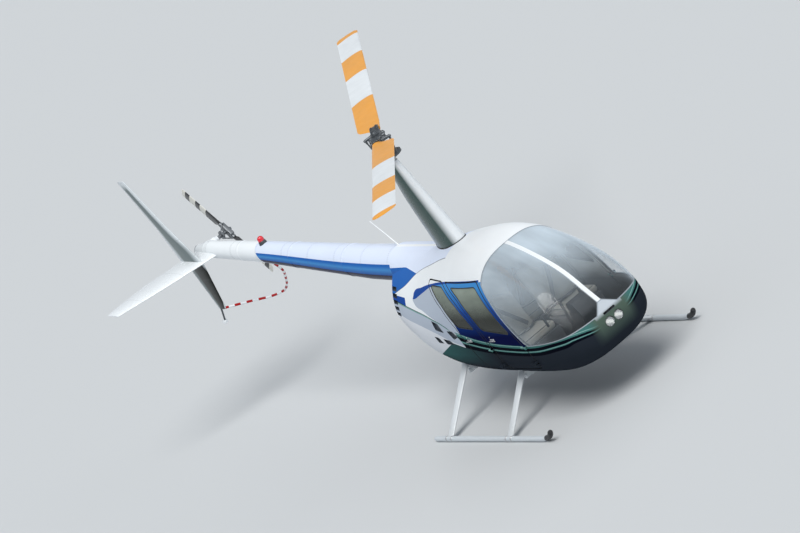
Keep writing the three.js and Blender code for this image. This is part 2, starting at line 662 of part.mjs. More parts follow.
// Tail surfaces on the right side of the boom.
function airfoilLoft(stations, place) {
  return loft(stations.map((station) => teardrop(station.front, station.rear, station.thick / 2)
    .map(([x, t]) => place(x, t, station))));
}
const FIN_Y = -240;
const STABILIZER = [
  { out: -60, front: -5340, frontZ: 1868, rear: -5880, rearZ: 1908, thick: 52 },
  { out: -700, front: -5668, frontZ: 1868, rear: -6168, rearZ: 1906, thick: 46 },
  { out: -1130, front: -5940, frontZ: 1868, rear: -6258, rearZ: 1892, thick: 34 },
  { out: -1232, front: -6010, frontZ: 1868, rear: -6260, rearZ: 1886, thick: 26 },
];
const UPPER_FIN = [
  { z: 1850, front: -5450, rear: -5975, thick: 52 },
  { z: 2330, front: -5752, rear: -6042, thick: 38 },
  { z: 3015, front: -6094, rear: -6256, thick: 24 },
];
const LOWER_FIN = [
  { z: 1240, front: -5650, rear: -5820, thick: 24 },
  { z: 1890, front: -5455, rear: -5885, thick: 44 },
];
function stabilizerPoint(x, t, st) {
  const share = (x - st.front) / (st.rear - st.front);
  return new THREE.Vector3(x, st.out, st.frontZ + (st.rearZ - st.frontZ) * share + t);
}
const stabilizer = airfoilLoft(STABILIZER, stabilizerPoint);
const upperFin = airfoilLoft(UPPER_FIN, (x, t, st) => new THREE.Vector3(x, FIN_Y + t, st.z));
const lowerFin = airfoilLoft(LOWER_FIN, (x, t, st) => new THREE.Vector3(x, FIN_Y + t, st.z));
const widerStations = STABILIZER.map((st) => ({
  ...st, front: st.front + 2 * GAP, rear: st.rear - 2 * GAP, thick: st.thick + 2 * GAP,
}));
const stabilizerClear = airfoilLoft(widerStations, stabilizerPoint);
const gearboxClear = rod(
  [lastBoom.x, 0, lastBoom.z],
  [GEARBOX.x, 0, GEARBOX.z],
  GEARBOX.front + GAP,
  16,
  GEARBOX.rear + GAP,
);
const boomClear = boomCut.add(gearboxClear);
add('horizontal_stabilizer', stabilizer.subtract(boomClear), 0xf1f4f6, 0.3, 0.2);
// The fins part along the stabiliser's middle line.
const FIN_SPLIT = [[-6400, 1940], [-5300, 1858]];
const aboveStabilizer = prismY([...FIN_SPLIT, [-5300, 4000], [-6400, 4000]], -400, 0);
const belowStabilizer = prismY([...FIN_SPLIT, [-5300, 1000], [-6400, 1000]], -400, 0);
add('upper_fin', upperFin.subtract(stabilizerClear).intersect(aboveStabilizer), 0xb9c1c6, 0.35, 0.3);
add('lower_fin', lowerFin.subtract(stabilizerClear).intersect(belowStabilizer), 0xdfe5e9, 0.35, 0.3);

// Guard tube under the tail, tail lamp, beacon and aerial.
const GUARD_LINE = [
  [-4640, 0, 1745], [-4636, 120, 1585], [-4740, 215, 1425], [-4910, 275, 1310], [-5150, 325, 1145],
  [-5350, 325, 1062], [-5480, 215, 1072], [-5590, 20, 1150], [-5665, -240, 1254],
];
const GUARD_RADIUS = 14;
const guard = bentTube(GUARD_LINE, GUARD_RADIUS, 18, 8);
const lowerFinClear = airfoilLoft(
  LOWER_FIN.map((st) => ({ ...st, z: st.z + (st.z < 1500 ? -GAP : GAP), thick: st.thick + 2 * GAP })),
  (x, t, st) => new THREE.Vector3(x, FIN_Y + t, st.z),
);
const pastFin = block(-6000, -5500, -400, FIN_Y, 1000, 1500);
add('tail_guard', guard.subtract(boomCut).subtract(lowerFinClear).subtract(pastFin), 0xd8463a, 0.4, 0.2);
const guardClear = bentTube(GUARD_LINE, GUARD_RADIUS + GAP, 18, 8);
const tailLamp = union([
  rod([-5755, FIN_Y, 1275], [-5880, FIN_Y, 1080], 11, 12),
  rod([-5872, FIN_Y, 1092], [-5898, FIN_Y, 1052], 24, 16, 15),
]);
add('tail_skid', tailLamp.subtract(lowerFinClear).subtract(guardClear), 0xe9ecec, 0.2, 0.1);
const beaconBase = rod([-4245, 0, 1890], [-4245, 0, 1962], 46, 14, 40);
const beacon = beaconBase.add(rod([-4245, 0, 1962], [-4245, 0, 2024], 38, 14, 22)).subtract(boomCut);
add('beacon', beacon, 0xd0182c, 0.25, 0);
const aerial = union([
  rod([-1084, 0, 1740], [-1084, 0, 1802], 26, 16, 20),
  rod([-1084, 0, 1796], [-1470, 30, 2115], 7, 8, 4),
]).subtract(boomCut).subtract(clearHull);
add('whip_aerial', aerial, 0xf4f6f7, 0.4, 0);

// Landing gear: a cross tube and two faired struts in each arch, and two skid tubes.
const ARCHES = [
  { name: 'front_gear_arch', rootX: 800, rootY: 440, rootZ: 442, tubeZ: 378, skidX: 990 },
  { name: 'rear_gear_arch', rootX: -440, rootY: 405, rootZ: 524, tubeZ: 440, skidX: -350 },
];
function ellipseRing(centre, along, across, halfAlong, halfAcross) {
  const ring = [];
  for (let k = 0; k < 10; k += 1) {
    const angle = (k / 10) * 2 * Math.PI;
    ring.push(centre.clone().addScaledVector(along, halfAlong * Math.cos(angle))
      .addScaledVector(across, halfAcross * Math.sin(angle)));
  }
  return ring;
}
const skidClear = union([-SKID_Y, SKID_Y].map((y) => (
  rod([-900, y, SKID_RADIUS], [2200, y, SKID_RADIUS], SKID_RADIUS + GAP, 12)
)));
ARCHES.forEach((arch) => {
  const forwardAxis = new THREE.Vector3(1, 0, 0);
  const parts = [rod([arch.rootX, -arch.rootY, arch.tubeZ], [arch.rootX, arch.rootY, arch.tubeZ], 26, 16)];
  [-1, 1].forEach((k) => {
    const top = new THREE.Vector3(arch.rootX, k * arch.rootY, arch.rootZ);
    const foot = new THREE.Vector3(arch.skidX, k * SKID_Y, SKID_RADIUS);
    const down = foot.clone().sub(top).normalize();
    const across = down.clone().cross(forwardAxis).normalize();
    const strut = loft([
      ellipseRing(top, forwardAxis, across, 62, 22),
      ellipseRing(top.clone().lerp(foot, 0.5), forwardAxis, across, 58, 19),
      ellipseRing(foot, forwardAxis, across, 60, 16),
    ]);
    const saddle = [
      [310, arch.tubeZ - 22], [arch.rootY - 70, arch.tubeZ - 22], [arch.rootY + 10, arch.rootZ - 24],
      [arch.rootY + 14, 700], [310, 700],
    ];
    parts.push(strut);
    parts.push(prismX(saddle.map(([y, z]) => [k * y, z]), arch.rootX - 44, arch.rootX + 44));
  });
  add(arch.name, union(parts).subtract(skidClear).subtract(clearHull), 0xdfe6ea, 0.35, 0.3);
});
[{ name: 'skid_right', y: -SKID_Y }, { name: 'skid_left', y: SKID_Y }].forEach((skid) => {
  const straight = union([
    rod([-640, skid.y, SKID_RADIUS], [1660, skid.y, SKID_RADIUS], SKID_RADIUS, 12),
    rod([-700, skid.y, SKID_RADIUS], [-640, skid.y, SKID_RADIUS], 20, 12, SKID_RADIUS),
  ]);
  const tip = bentTube([
    [1650, skid.y, SKID_RADIUS], [1740, skid.y, SKID_RADIUS + 2], [1840, skid.y, SKID_RADIUS + 18],
    [1915, skid.y, SKID_RADIUS + 46], [1970, skid.y, SKID_RADIUS + 92],
  ], SKID_RADIUS - 1, 7, 12);
  add(skid.name, straight.add(tip), 0xb4c0c4, 0.4, 0.5);
});

// Origin under the middle of the bounding box.
const low = new THREE.Vector3(Infinity, Infinity, Infinity);
const high = new THREE.Vector3(-Infinity, -Infinity, -Infinity);
bodies.forEach(({ manifold }) => {
  const box = manifold.boundingBox();
  low.min(new THREE.Vector3(...box.min));
  high.max(new THREE.Vector3(...box.max));
});
const shift = new THREE.Vector3(-(low.x + high.x) / 2, -(low.y + high.y) / 2, -low.z);
bodies.forEach(({ name, manifold, color, roughness, metalness }) => {
  const geometry = geometryOf(manifold);
  geometry.translate(shift.x, shift.y, shift.z);
  const material = new THREE.MeshStandardMaterial({ color, roughness, metalness });
  const mesh = new THREE.Mesh(geometry, material);
  mesh.name = name;
  group.add(mesh);
});

export default group;
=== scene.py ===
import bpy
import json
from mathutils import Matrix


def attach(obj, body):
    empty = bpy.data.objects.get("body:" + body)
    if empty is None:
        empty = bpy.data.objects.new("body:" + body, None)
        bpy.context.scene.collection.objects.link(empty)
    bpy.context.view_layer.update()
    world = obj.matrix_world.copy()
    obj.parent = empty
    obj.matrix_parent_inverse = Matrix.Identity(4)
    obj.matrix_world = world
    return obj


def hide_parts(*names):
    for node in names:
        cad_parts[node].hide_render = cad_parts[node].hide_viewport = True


bl_info = {
    "name": "Light Helicopter",
    "version": (1, 0, 0),
    "blender": (4, 5, 0),
    "location": "3D View > Sidebar > Helicopter",
    "description": "Dresses a light four-seat helicopter parked on its skids",
    "category": "Object",
}

import functools
import json
import math

import bmesh
import bpy
import numpy as np
from mathutils import Matrix, Vector

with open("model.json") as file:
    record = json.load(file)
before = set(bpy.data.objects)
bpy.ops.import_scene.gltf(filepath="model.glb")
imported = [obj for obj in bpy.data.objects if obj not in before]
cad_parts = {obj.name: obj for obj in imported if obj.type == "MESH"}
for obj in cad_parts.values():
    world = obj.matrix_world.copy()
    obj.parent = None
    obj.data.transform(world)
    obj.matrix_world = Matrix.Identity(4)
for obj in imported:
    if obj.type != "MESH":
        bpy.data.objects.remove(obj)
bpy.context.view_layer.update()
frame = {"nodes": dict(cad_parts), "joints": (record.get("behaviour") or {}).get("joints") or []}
JOINTS = {joint["name"]: joint for joint in frame["joints"]}

# Shapes below are in metres from the mast: x forward, y left, z up from the ground.
MAST_X, MAST_Y = JOINTS["main_rotor_spin"]["pos_m"][:2]
MAST = Vector((MAST_X, MAST_Y, 0))
SIDES = (("right", -1), ("left", 1))

# Cabin and engine pod, nose to tail: x, half width, top, bottom, widest height, roundness up and down.
HULL = np.array([
    (2.540, 0.070, 0.830, 0.715, 0.775, 2.00, 2.0),
    (2.526, 0.265, 0.905, 0.640, 0.775, 2.20, 2.2),
    (2.465, 0.420, 0.985, 0.555, 0.780, 2.40, 2.5),
    (2.335, 0.530, 1.125, 0.475, 0.800, 2.60, 2.8),
    (2.085, 0.610, 1.392, 0.424, 0.830, 2.75, 3.1),
    (1.738, 0.642, 1.603, 0.411, 0.870, 2.85, 3.2),
    (1.307, 0.650, 1.782, 0.411, 0.910, 2.85, 3.2),
    (0.900, 0.650, 1.852, 0.414, 0.940, 2.70, 3.1),
    (0.500, 0.646, 1.852, 0.418, 0.960, 2.40, 3.0),
    (0.100, 0.632, 1.820, 0.426, 0.990, 2.15, 2.8),
    (-0.300, 0.600, 1.785, 0.453, 1.020, 1.90, 2.6),
    (-0.700, 0.545, 1.755, 0.536, 1.080, 1.70, 2.4),
    (-1.000, 0.475, 1.735, 0.690, 1.150, 1.60, 2.3),
    (-1.150, 0.430, 1.725, 0.790, 1.200, 1.55, 2.3),
])
# Raised round deck behind the mast: x, centre height, radius.
DECK = ((0.140, 1.540, 0.206), (-0.300, 1.572, 0.218), (-1.150, 1.584, 0.224))
HULL_ROWS = 6
HULL_SIDES = 104
SEAM_X = -0.060
BELT_Z = 0.600
POST_HALF = 0.024
# Gap between neighbouring pieces, and overrun of a cutting form past the rear end of the cowl.
CLEAR = 0.0003
OVERRUN = 0.080
# Spans that clear the pod, and reach of a seal outward and inward of its opening.
POD_WIDE = (-0.9, 0.9)
POD_HIGH = (0, 2.1)
GLAZED_HIGH = (0, 2.2)
GLAZED_LONG = (1.0, 2.75)
DOOR_REACH = (0.15, 0.9)
SEAL_REACH = (0.003, -0.005)

# Side-view outlines of the doors, windows, windscreen and air inlets.
FRONT_DOOR = (
    (1.215, 1.632), (1.300, 1.520), (1.440, 1.310), (1.580, 1.060), (1.660, 0.900), (1.712, 0.760),
    (1.702, 0.665), (1.650, 0.604), (1.026, 0.604), (1.021, 0.800), (0.993, 0.955), (0.935, 1.165),
    (0.852, 1.330), (0.737, 1.482), (0.515, 1.632),
)
FRONT_WINDOW = (
    (1.182, 1.592), (1.262, 1.494), (1.398, 1.300), (1.530, 1.092), (1.506, 1.062), (1.036, 1.120),
    (0.992, 1.142), (0.957, 1.200), (0.885, 1.342), (0.768, 1.496), (0.628, 1.592),
)
REAR_DOOR = (
    (0.400, 1.632), (0.663, 1.438), (0.788, 1.290), (0.875, 1.135), (0.937, 0.945), (0.969, 0.800),
    (0.974, 0.604), (0.548, 0.604), (0.534, 0.750), (0.505, 0.950), (0.425, 1.170), (0.275, 1.385),
    (0.030, 1.590), (0.062, 1.632),
)
REAR_WINDOW = (
    (0.400, 1.592), (0.640, 1.412), (0.766, 1.262), (0.832, 1.152), (0.812, 1.136), (0.520, 1.164),
    (0.480, 1.180), (0.444, 1.220), (0.303, 1.410), (0.104, 1.576), (0.128, 1.592),
)
WINDSCREEN = (
    (1.300, 1.950), (1.300, 1.604), (1.402, 1.460), (1.532, 1.240), (1.655, 1.030), (1.715, 0.935),
    (1.760, 0.905), (2.700, 0.905), (2.700, 1.950),
)
LOUVRES = (
    ((-0.112, 1.230), (0.022, 1.203), (0.078, 1.092), (-0.100, 1.122)),
    ((0.168, 1.118), (0.290, 1.116), (0.372, 1.046), (0.236, 1.012)),
    ((-0.240, 1.038), (-0.136, 1.026), (-0.082, 0.954), (-0.208, 0.957)),
    ((-0.036, 1.016), (0.112, 0.999), (0.176, 0.941), (-0.010, 0.947)),
)
REAR_SLOTS = (1.210, 1.272, 1.334, 1.396, 1.458)
# Front view of the nose cap under the foot of the windscreen post, and of the slot below it.
NOSE_CAP = (
    (-0.160, 0.700), (0.160, 0.700), (0.160, 0.892), (0.027, 1.000), (-0.027, 1.000), (-0.160, 0.892),
)
NOSE_SLOT = ((-0.078, 0.872), (0.078, 0.872), (0.078, 0.898), (-0.078, 0.898))
# Landing lamps: centre, hole, and the turned case as x and radius, its inside last.
LAMP_Y = 0.062
LAMP_Z = 0.785
LAMP_RADIUS = 0.056
LAMP_CASE = (
    (2.440, 0.0550), (2.530, 0.0550), (2.537, 0.0545), (2.540, 0.0525), (2.537, 0.0505),
    (2.512, 0.0500), (2.485, 0.0420), (2.462, 0.0250), (2.452, 0.0120), (2.450, 0.0020),
)
# Faces of the case past this x and within this radius are its reflector.
LAMP_INSIDE = (2.449, 0.0503)
# Hinges: pin x and y, x of the arm on the door, and per hinge its height and its span on the post.
HINGES = {
    "front": {"x": 1.718, "y": 0.660, "arm": 1.640,
              "heights": ((0.690, 1.719, 1.746), (0.900, 1.690, 1.722))},
    "rear": {"x": 0.980, "y": 0.668, "arm": 0.925,
             "heights": ((0.670, 0.985, 1.008), (0.880, 0.972, 0.992))},
}
HINGE_RADIUS = 0.008
DOOR_KNUCKLE = 0.010
POST_KNUCKLE = (0.0103, 0.026)
HANDLES = {"front": (1.100, 1.000), "rear": (0.590, 1.000)}
DOORS = {"front": (FRONT_DOOR, FRONT_WINDOW), "rear": (REAR_DOOR, REAR_WINDOW)}
DOOR_CORNER = 0.030
WINDOW_CORNER = 0.035
EXHAUST = (-0.64, 0.19)

# Tail boom, front to rear: x, centre height, radius.
BOOM = ((-0.950, 1.578, 0.206), (-1.900, 1.620, 0.190), (-4.400, 1.823, 0.119), (-5.640, 1.892, 0.096))
BOOM_SIDES = 72
BOOM_BANDS = (-1.062, -2.30, -3.55, -4.80, -5.60)
BEACON_X = -4.245
AERIAL_X = -1.084
# Mast fairing stations: height, front x, rear x, half width.
FAIRING = (
    (1.700, 0.432, -0.243, 0.125), (1.850, 0.388, -0.246, 0.118),
    (2.400, 0.220, -0.256, 0.086), (2.868, 0.078, -0.186, 0.056),
)

MAST_HUB_Z = 3.155
ROTOR_RADIUS = 5.030
# Degrees of the rotor's turn, of the hub's rocking and of the blades' rise from the hub.
ROTOR_AZIMUTH = 151.9
ROTOR_TEETER = 3.5
ROTOR_CONE = 2.9
HUB_HALF = 0.400
# Main blade stations: radius, chord, thickness, reach ahead of the pitch line.
BLADE = (
    (0.4003, 0.120, 0.062, 0.060), (0.455, 0.140, 0.052, 0.061), (0.520, 0.190, 0.040, 0.062),
    (0.600, 0.245, 0.036, 0.066), (0.700, 0.270, 0.033, 0.068), (2.800, 0.270, 0.031, 0.068),
    (4.970, 0.270, 0.030, 0.068), (5.000, 0.243, 0.022, 0.054), (5.020, 0.225, 0.0165, 0.0447),
    (5.030, 0.214, 0.012, 0.0395),
)
# Tail rotor: axis, y of the disc, tilt in degrees, and blade stations like those of the main blade.
TAIL_AXIS = (-5.890, 0.0, 1.868)
TAIL_DISC_Y = 0.392
TAIL_TILT = 39.5
TAIL_RADIUS = 0.737
TAIL_BLADE = (
    (0.1203, 0.060, 0.034, 0.030), (0.150, 0.090, 0.026, 0.036), (0.190, 0.133, 0.018, 0.045),
    (0.722, 0.133, 0.015, 0.045), (0.732, 0.1197, 0.010, 0.039), (0.737, 0.112, 0.0078, 0.0357),
)
FIN_Y = -0.240
# Stabiliser stations: y, front x, front z, rear x, rear z, thickness.
STABILIZER = (
    (-0.060, -5.340, 1.868, -5.880, 1.908, 0.052), (-0.700, -5.668, 1.868, -6.168, 1.906, 0.046),
    (-1.130, -5.940, 1.868, -6.258, 1.892, 0.034), (-1.205, -5.988, 1.868, -6.260, 1.888, 0.029),
    (-1.232, -6.010, 1.868, -6.258, 1.886, 0.016),
)
# Fin stations: z, front x, rear x, thickness.
UPPER_FIN = (
    (1.887, -5.474, -5.980, 0.051), (2.330, -5.752, -6.042, 0.038), (2.990, -6.080, -6.250, 0.025),
    (3.015, -6.100, -6.252, 0.013),
)
LOWER_FIN = (
    (1.240, -5.656, -5.816, 0.013), (1.262, -5.643, -5.822, 0.024), (1.883, -5.458, -5.883, 0.044),
)
GUARD_LINE = (
    (-4.640, 0, 1.745), (-4.636, 0.120, 1.585), (-4.740, 0.215, 1.425), (-4.910, 0.275, 1.310),
    (-5.150, 0.325, 1.145), (-5.350, 0.325, 1.062), (-5.480, 0.215, 1.072), (-5.590, 0.020, 1.150),
    (-5.665, -0.240, 1.254),
)
# White share of each pair of bands on the guard.
GUARD_WHITE = 0.072 / 0.145
# Landing gear arches: root x, y, z, cross tube height, x where the strut meets the skid.
ARCHES = {"front": (0.800, 0.440, 0.442, 0.378, 0.990), "rear": (-0.440, 0.405, 0.524, 0.440, -0.350)}
# Struts: share of the way down, half chord, half thickness.
STRUT = (
    (0, 0.062, 0.024), (0.04, 0.062, 0.022), (0.5, 0.058, 0.019), (0.93, 0.060, 0.017),
    (0.97, 0.064, 0.022), (1.0, 0.064, 0.024),
)
SKID_Y = 1.050
SKID_RADIUS = 0.030
# Skids: x and radius of the straight part, then x and rise of the curved front.
SKID_STRAIGHT = (
    (-0.700, 0.016), (-0.694, 0.020), (-0.640, 0.030), (0.2, 0.030), (1.2, 0.030), (1.650, 0.030),
)
SKID_CURVE = ((1.650, 0), (1.740, 0.002), (1.840, 0.018), (1.915, 0.046), (1.970, 0.092))
# Seats: name, x of the back's foot, depth, right and left edge, rake of the back, sewn channels.
SEATS = (
    ("front_seat_right", 1.010, 0.400, -0.545, -0.075, 0.20, (-0.34, 0.34)),
    ("front_seat_left", 1.010, 0.400, 0.075, 0.545, 0.20, (-0.34, 0.34)),
    ("rear_seat", 0.385, 0.390, -0.520, 0.520, 0.24, (-0.70, -0.30, 0.0, 0.30, 0.70)),
)

# Camera fitted to the photograph: its axes, its distance from the mast, the pixels of a metre there,
# the pixel its axis passes through, and the picture's size.
CAMERA_RIGHT = (0.47073353, 0.70423790, -0.53146865)
CAMERA_UP = (0.00715500, 0.59931708, 0.80047976)
CAMERA_VIEW = (-0.88224642, 0.38061532, -0.27707982)
CAMERA_DISTANCE = 75.838
CAMERA_SCALE = 94.838
CAMERA_CENTRE = (538.235, 380.990)
PICTURE = (800, 533)
SENSOR = 36


# Mesh making.

def mesh_from(form):
    """Ends a mesh edit as a new mesh."""
    mesh = bpy.data.meshes.new("form")
    form.to_mesh(mesh)
    form.free()
    return mesh


def mesh_of(verts, faces):
    """Mesh with its faces turned outward."""
    mesh = bpy.data.meshes.new("form")
    mesh.from_pydata([tuple(map(float, v)) for v in verts], [], faces)
    form = bmesh.new()
    form.from_mesh(mesh)
    bmesh.ops.recalc_face_normals(form, faces=form.faces)
    return mesh_from(form)


def loft(rings, looped=False):
    """Skin through rings of equal point counts, closed at both ends or run back to its start."""
    rings = np.asarray(rings, float)
    rows, count = rings.shape[:2]
    faces = []
    for r in range(rows if looped else rows - 1):
        a, b = r * count, ((r + 1) % rows) * count
        for i in range(count):
            j = (i + 1) % count
            faces.append((a + i, a + j, b + j, b + i))
    if not looped:
        faces.append(tuple(range(count)))
        faces.append(tuple(range((rows - 1) * count, rows * count)))
    return mesh_of(rings.reshape(-1, 3), faces)


def outline_area(points):
    """Signed area of an outline, positive if it runs anticlockwise."""
    pts = np.asarray(points, float)
    nxt = np.roll(pts, -1, axis=0)
    return 0.5 * float(np.sum(pts[:, 0] * nxt[:, 1] - nxt[:, 0] * pts[:, 1]))


def grown(points, amount):
    """Outline moved outward, or inward if negative, by mitring its edges."""
    side = 1 if outline_area(points) > 0 else -1
    moved = []
    for i, (x, y) in enumerate(points):
        px, py = points[i - 1]
        qx, qy = points[(i + 1) % len(points)]
        a = Vector((x - px, y - py)).normalized()
        b = Vector((qx - x, qy - y)).normalized()
        na = Vector((a.y, -a.x)) * side
        nb = Vector((b.y, -b.x)) * side
        mitre = (na + nb).normalized()
        reach = amount / max(0.35, mitre.dot(na))
        moved.append((x + mitre.x * reach, y + mitre.y * reach))
    return moved


def rounded(points, radius, steps=4):
    """Outline with each corner cut by a small arc."""
    result = []
    for i, corner in enumerate(points):
        here = Vector(corner)
        before = Vector(points[i - 1]) - here
        after = Vector(points[(i + 1) % len(points)]) - here
        reach = min(radius, before.length * 0.45, after.length * 0.45)
        start, end = here + before.normalized() * reach, here + after.normalized() * reach
        for k in range(steps + 1):
            t = k / steps
            point = start.lerp(here, t).lerp(here.lerp(end, t), t)
            result.append((point.x, point.y))
    return result


def prism_x(points, start, end):
    """Front-view outline carried from one x to another."""
    return loft([[(x, y, z) for y, z in points] for x in (start, end)])


def prism_y(points, start, end):
    """Side-view outline carried from one y to another."""
    return loft([[(x, y, z) for x, z in points] for y in (start, end)])


def block(xs, ys, zs):
    """Box by its spans."""
    return prism_x([(ys[0], zs[0]), (ys[1], zs[0]), (ys[1], zs[1]), (ys[0], zs[1])], *xs)


def side_span(sign, inner, outer):
    """Span of y on one side of the aircraft, lowest first."""
    return sorted((sign * inner, sign * outer))


def square_to(direction):
    """Two directions square to the given one and to each other."""
    axis = Vector(direction).normalized()
    side = axis.cross(Vector((0, 0, 1)))
    if side.length < 1e-4:
        side = axis.cross(Vector((0, 1, 0)))
    side.normalize()
    return side, side.cross(axis)


def circle(centre, side, up, radius, sides):
    """Points of a circle in the plane of two directions."""
    return [centre + side * (radius * math.cos(a)) + up * (radius * math.sin(a))
            for a in np.linspace(0, 2 * math.pi, sides, endpoint=False)]


def upright_circle(x, y, z, radius, sides):
    """Circle around a line that runs along x."""
    return [(x, y + radius * math.cos(a), z + radius * math.sin(a))
            for a in np.linspace(0, 2 * math.pi, sides, endpoint=False)]


def turned(start, end, profile, sides):
    """Body of revolution: profile rows are share of the way along, radius."""
    start, end = Vector(start), Vector(end)
    side, up = square_to(end - start)
    return loft([circle(start.lerp(end, share), side, up, radius, sides) for share, radius in profile])


def rod(start, end, radius, sides=24, soft=0.0):
    """Round bar, with its end edges eased by soft."""
    if not soft:
        return turned(start, end, ((0, radius), (1, radius)), sides)
    ease = soft / (Vector(end) - Vector(start)).length
    tip, shoulder = radius - soft, radius - soft * 0.3
    profile = ((0, tip), (ease * 0.3, shoulder), (ease, radius),
               (1 - ease, radius), (1 - ease * 0.3, shoulder), (1, tip))
    return turned(start, end, profile, sides)


def between(p0, p1, p2, p3, t):
    """Smooth curve from p1 to p2, at a share of the way."""
    return 0.5 * (2 * p1 + (p2 - p0) * t + (2 * p0 - 5 * p1 + 4 * p2 - p3) * t * t
                  + (3 * p1 - p0 - 3 * p2 + p3) * t ** 3)


def smooth_line(points, steps, fine=24):
    """Evenly spaced points along a smooth curve through the given ones, and its length."""
    pts = [Vector(p) for p in points]
    pts = [pts[0] * 2 - pts[1]] + pts + [pts[-1] * 2 - pts[-2]]
    dense = [between(*pts[i - 1:i + 3], k / fine) for i in range(1, len(pts) - 2) for k in range(fine)]
    dense.append(pts[-2])
    gone = [0.0]
    for a, b in zip(dense, dense[1:]):
        gone.append(gone[-1] + (b - a).length)
    wanted = np.linspace(0, gone[-1], steps + 1)
    columns = [np.interp(wanted, gone, [p[c] for p in dense]) for c in range(3)]
    return [Vector(row) for row in zip(*columns)], gone[-1]


def heading(line, i):
    """Direction of a line of points at one of them."""
    return (line[min(i + 1, len(line) - 1)] - line[max(i - 1, 0)]).normalized()


def tube(points, radius, steps, sides, radii=None):
    """Round tube along a smooth curve through the points."""
    line, _ = smooth_line(points, steps)
    side, _ = square_to(line[1] - line[0])
    rings = []
    for i, centre in enumerate(line):
        axis = heading(line, i)
        side = (side - axis * side.dot(axis)).normalized()
        r = float(np.interp(i / steps, *radii)) if radii else radius
        rings.append(circle(centre, side, side.cross(axis), r, sides))
    return loft(rings)


def dome(centre, direction, radius, height, sides, rows=8):
    """Spherical cap bulging along a direction, closed by a flat back."""
    axis = Vector(direction).normalized()
    base = Vector(centre)
    profile = [(math.sin(k / rows * math.pi / 2), max(1e-4, radius * math.cos(k / rows * math.pi / 2)))
               for k in range(rows + 1)]
    return turned(base, base + axis * height, profile, sides)


def rounded_block(xs, ys, zs, radius):
    """Box with rounded edges."""
    form = bmesh.new()
    form.from_mesh(block(xs, ys, zs))
    bmesh.ops.bevel(form, geom=form.edges[:], offset=radius, segments=3, profile=0.5, affect="EDGES")
    return mesh_from(form)


def merged(meshes):
    """One mesh of several, uncut."""
    form = bmesh.new()
    for mesh in meshes:
        form.from_mesh(mesh)
    return mesh_from(form)


def moved(mesh, matrix):
    result = mesh.copy()
    result.transform(matrix)
    return result


# Which finish of a piece a face takes, kept through the cuts.
OUTSIDE, LINING, RIM, RECESS = range(4)


def marked(mesh, marks):
    """The same mesh with one mark on all its faces, or one from a list on each."""
    result = mesh.copy()
    result.materials.clear()
    for _ in range(RECESS + 1):
        result.materials.append(None)
    if isinstance(marks, int):
        marks = [marks] * len(result.polygons)
    result.polygons.foreach_set("material_index", marks)
    return result


def carve(mesh, tool, how="DIFFERENCE"):
    """Cuts one mesh with another, or joins or keeps what both share."""
    body = bpy.data.objects.new("carve_body", mesh)
    cutter = bpy.data.objects.new("carve_tool", tool)
    for item in (body, cutter):
        bpy.context.scene.collection.objects.link(item)
    modifier = body.modifiers.new("carve", "BOOLEAN")
    modifier.operation = how
    modifier.solver = "MANIFOLD"
    modifier.object = cutter
    graph = bpy.context.evaluated_depsgraph_get()
    result = bpy.data.meshes.new_from_object(body.evaluated_get(graph))
    for item in (body, cutter):
        bpy.data.objects.remove(item)
    if not result.polygons:
        raise RuntimeError("a cut left nothing of its piece")
    return result


def united(meshes):
    """One closed mesh around several that overlap."""
    return functools.reduce(lambda whole, mesh: carve(whole, mesh, "UNION"), meshes)


def spline(values, s):
    """Smooth curve through equally spaced values."""
    values = np.concatenate(([2 * values[0] - values[1]], values, [2 * values[-1] - values[-2]]))
    i = np.minimum(np.floor(s).astype(int), len(values) - 4)
    return between(*(values[i + k] for k in range(4)), s - i)


def hull_point(s, angle):
    """Point of the pod's skin, by station and by angle around it."""
    x, half, top, bottom, wide, up, low = (spline(HULL[:, c], s) for c in range(7))
    cos, sin = np.cos(angle), np.sin(angle)
    power = 2 / np.where(sin >= 0, up, low)
    reach = np.where(sin >= 0, top - wide, wide - bottom)
    y = np.sign(cos) * half * np.abs(cos) ** power
    z = wide + np.sign(sin) * reach * np.abs(sin) ** power
    return np.stack((x, y, z), axis=-1)


def hull_normal(s, angle, step=0.02):
    """Outward direction of the pod's skin there."""
    last = len(HULL) - 1
    along = hull_point(np.minimum(last, s + step), angle) - hull_point(np.maximum(0, s - step), angle)
    around = hull_point(s, angle + step) - hull_point(s, angle - step)
    normal = np.cross(along, around)
    return normal / np.linalg.norm(normal, axis=-1, keepdims=True)


def hull_form(inset, rear_extra=0.0):
    """Pod without its deck, shrunk by an inset."""
    last = len(HULL) - 1
    s, angle = np.meshgrid(np.linspace(0, last, last * HULL_ROWS + 1),
                           (np.arange(HULL_SIDES) + 0.5) / HULL_SIDES * 2 * math.pi, indexing="ij")
    grid = hull_point(s, angle) - inset * hull_normal(s, angle)
    grid[0, :, 0] = HULL[0, 0] - inset
    grid[-1, :, 0] = HULL[-1, 0]
    rings = list(grid)
    middle = rings[0].mean(axis=0)
    for share, bulge in ((0.75, 0.0035), (0.4, 0.006)):
        ring = middle + (grid[0] - middle) * share
        ring[:, 0] = grid[0, 0, 0] + bulge
        rings.insert(0, ring)
    if rear_extra:
        rings.append(grid[-1] - np.array((rear_extra, 0, 0)))
    return loft(rings)


def round_form(stations, grow, ahead=0.0, behind=0.0, sides=64):
    """Round body through stations of x, centre height, radius."""
    rows = [(x, z, r + grow) for x, z, r in stations]
    if ahead:
        rows.insert(0, (rows[0][0] + ahead, rows[0][1], rows[0][2]))
    if behind:
        rows.append((rows[-1][0] - behind, rows[-1][1], rows[-1][2]))
    return loft([upright_circle(x, 0, z, r, sides) for x, z, r in rows])


def pod_form(inset, rear_extra=0.0):
    """Pod with the raised round deck that runs back from the mast to the boom."""
    return carve(hull_form(inset, rear_extra), round_form(DECK, -inset, behind=rear_extra), "UNION")


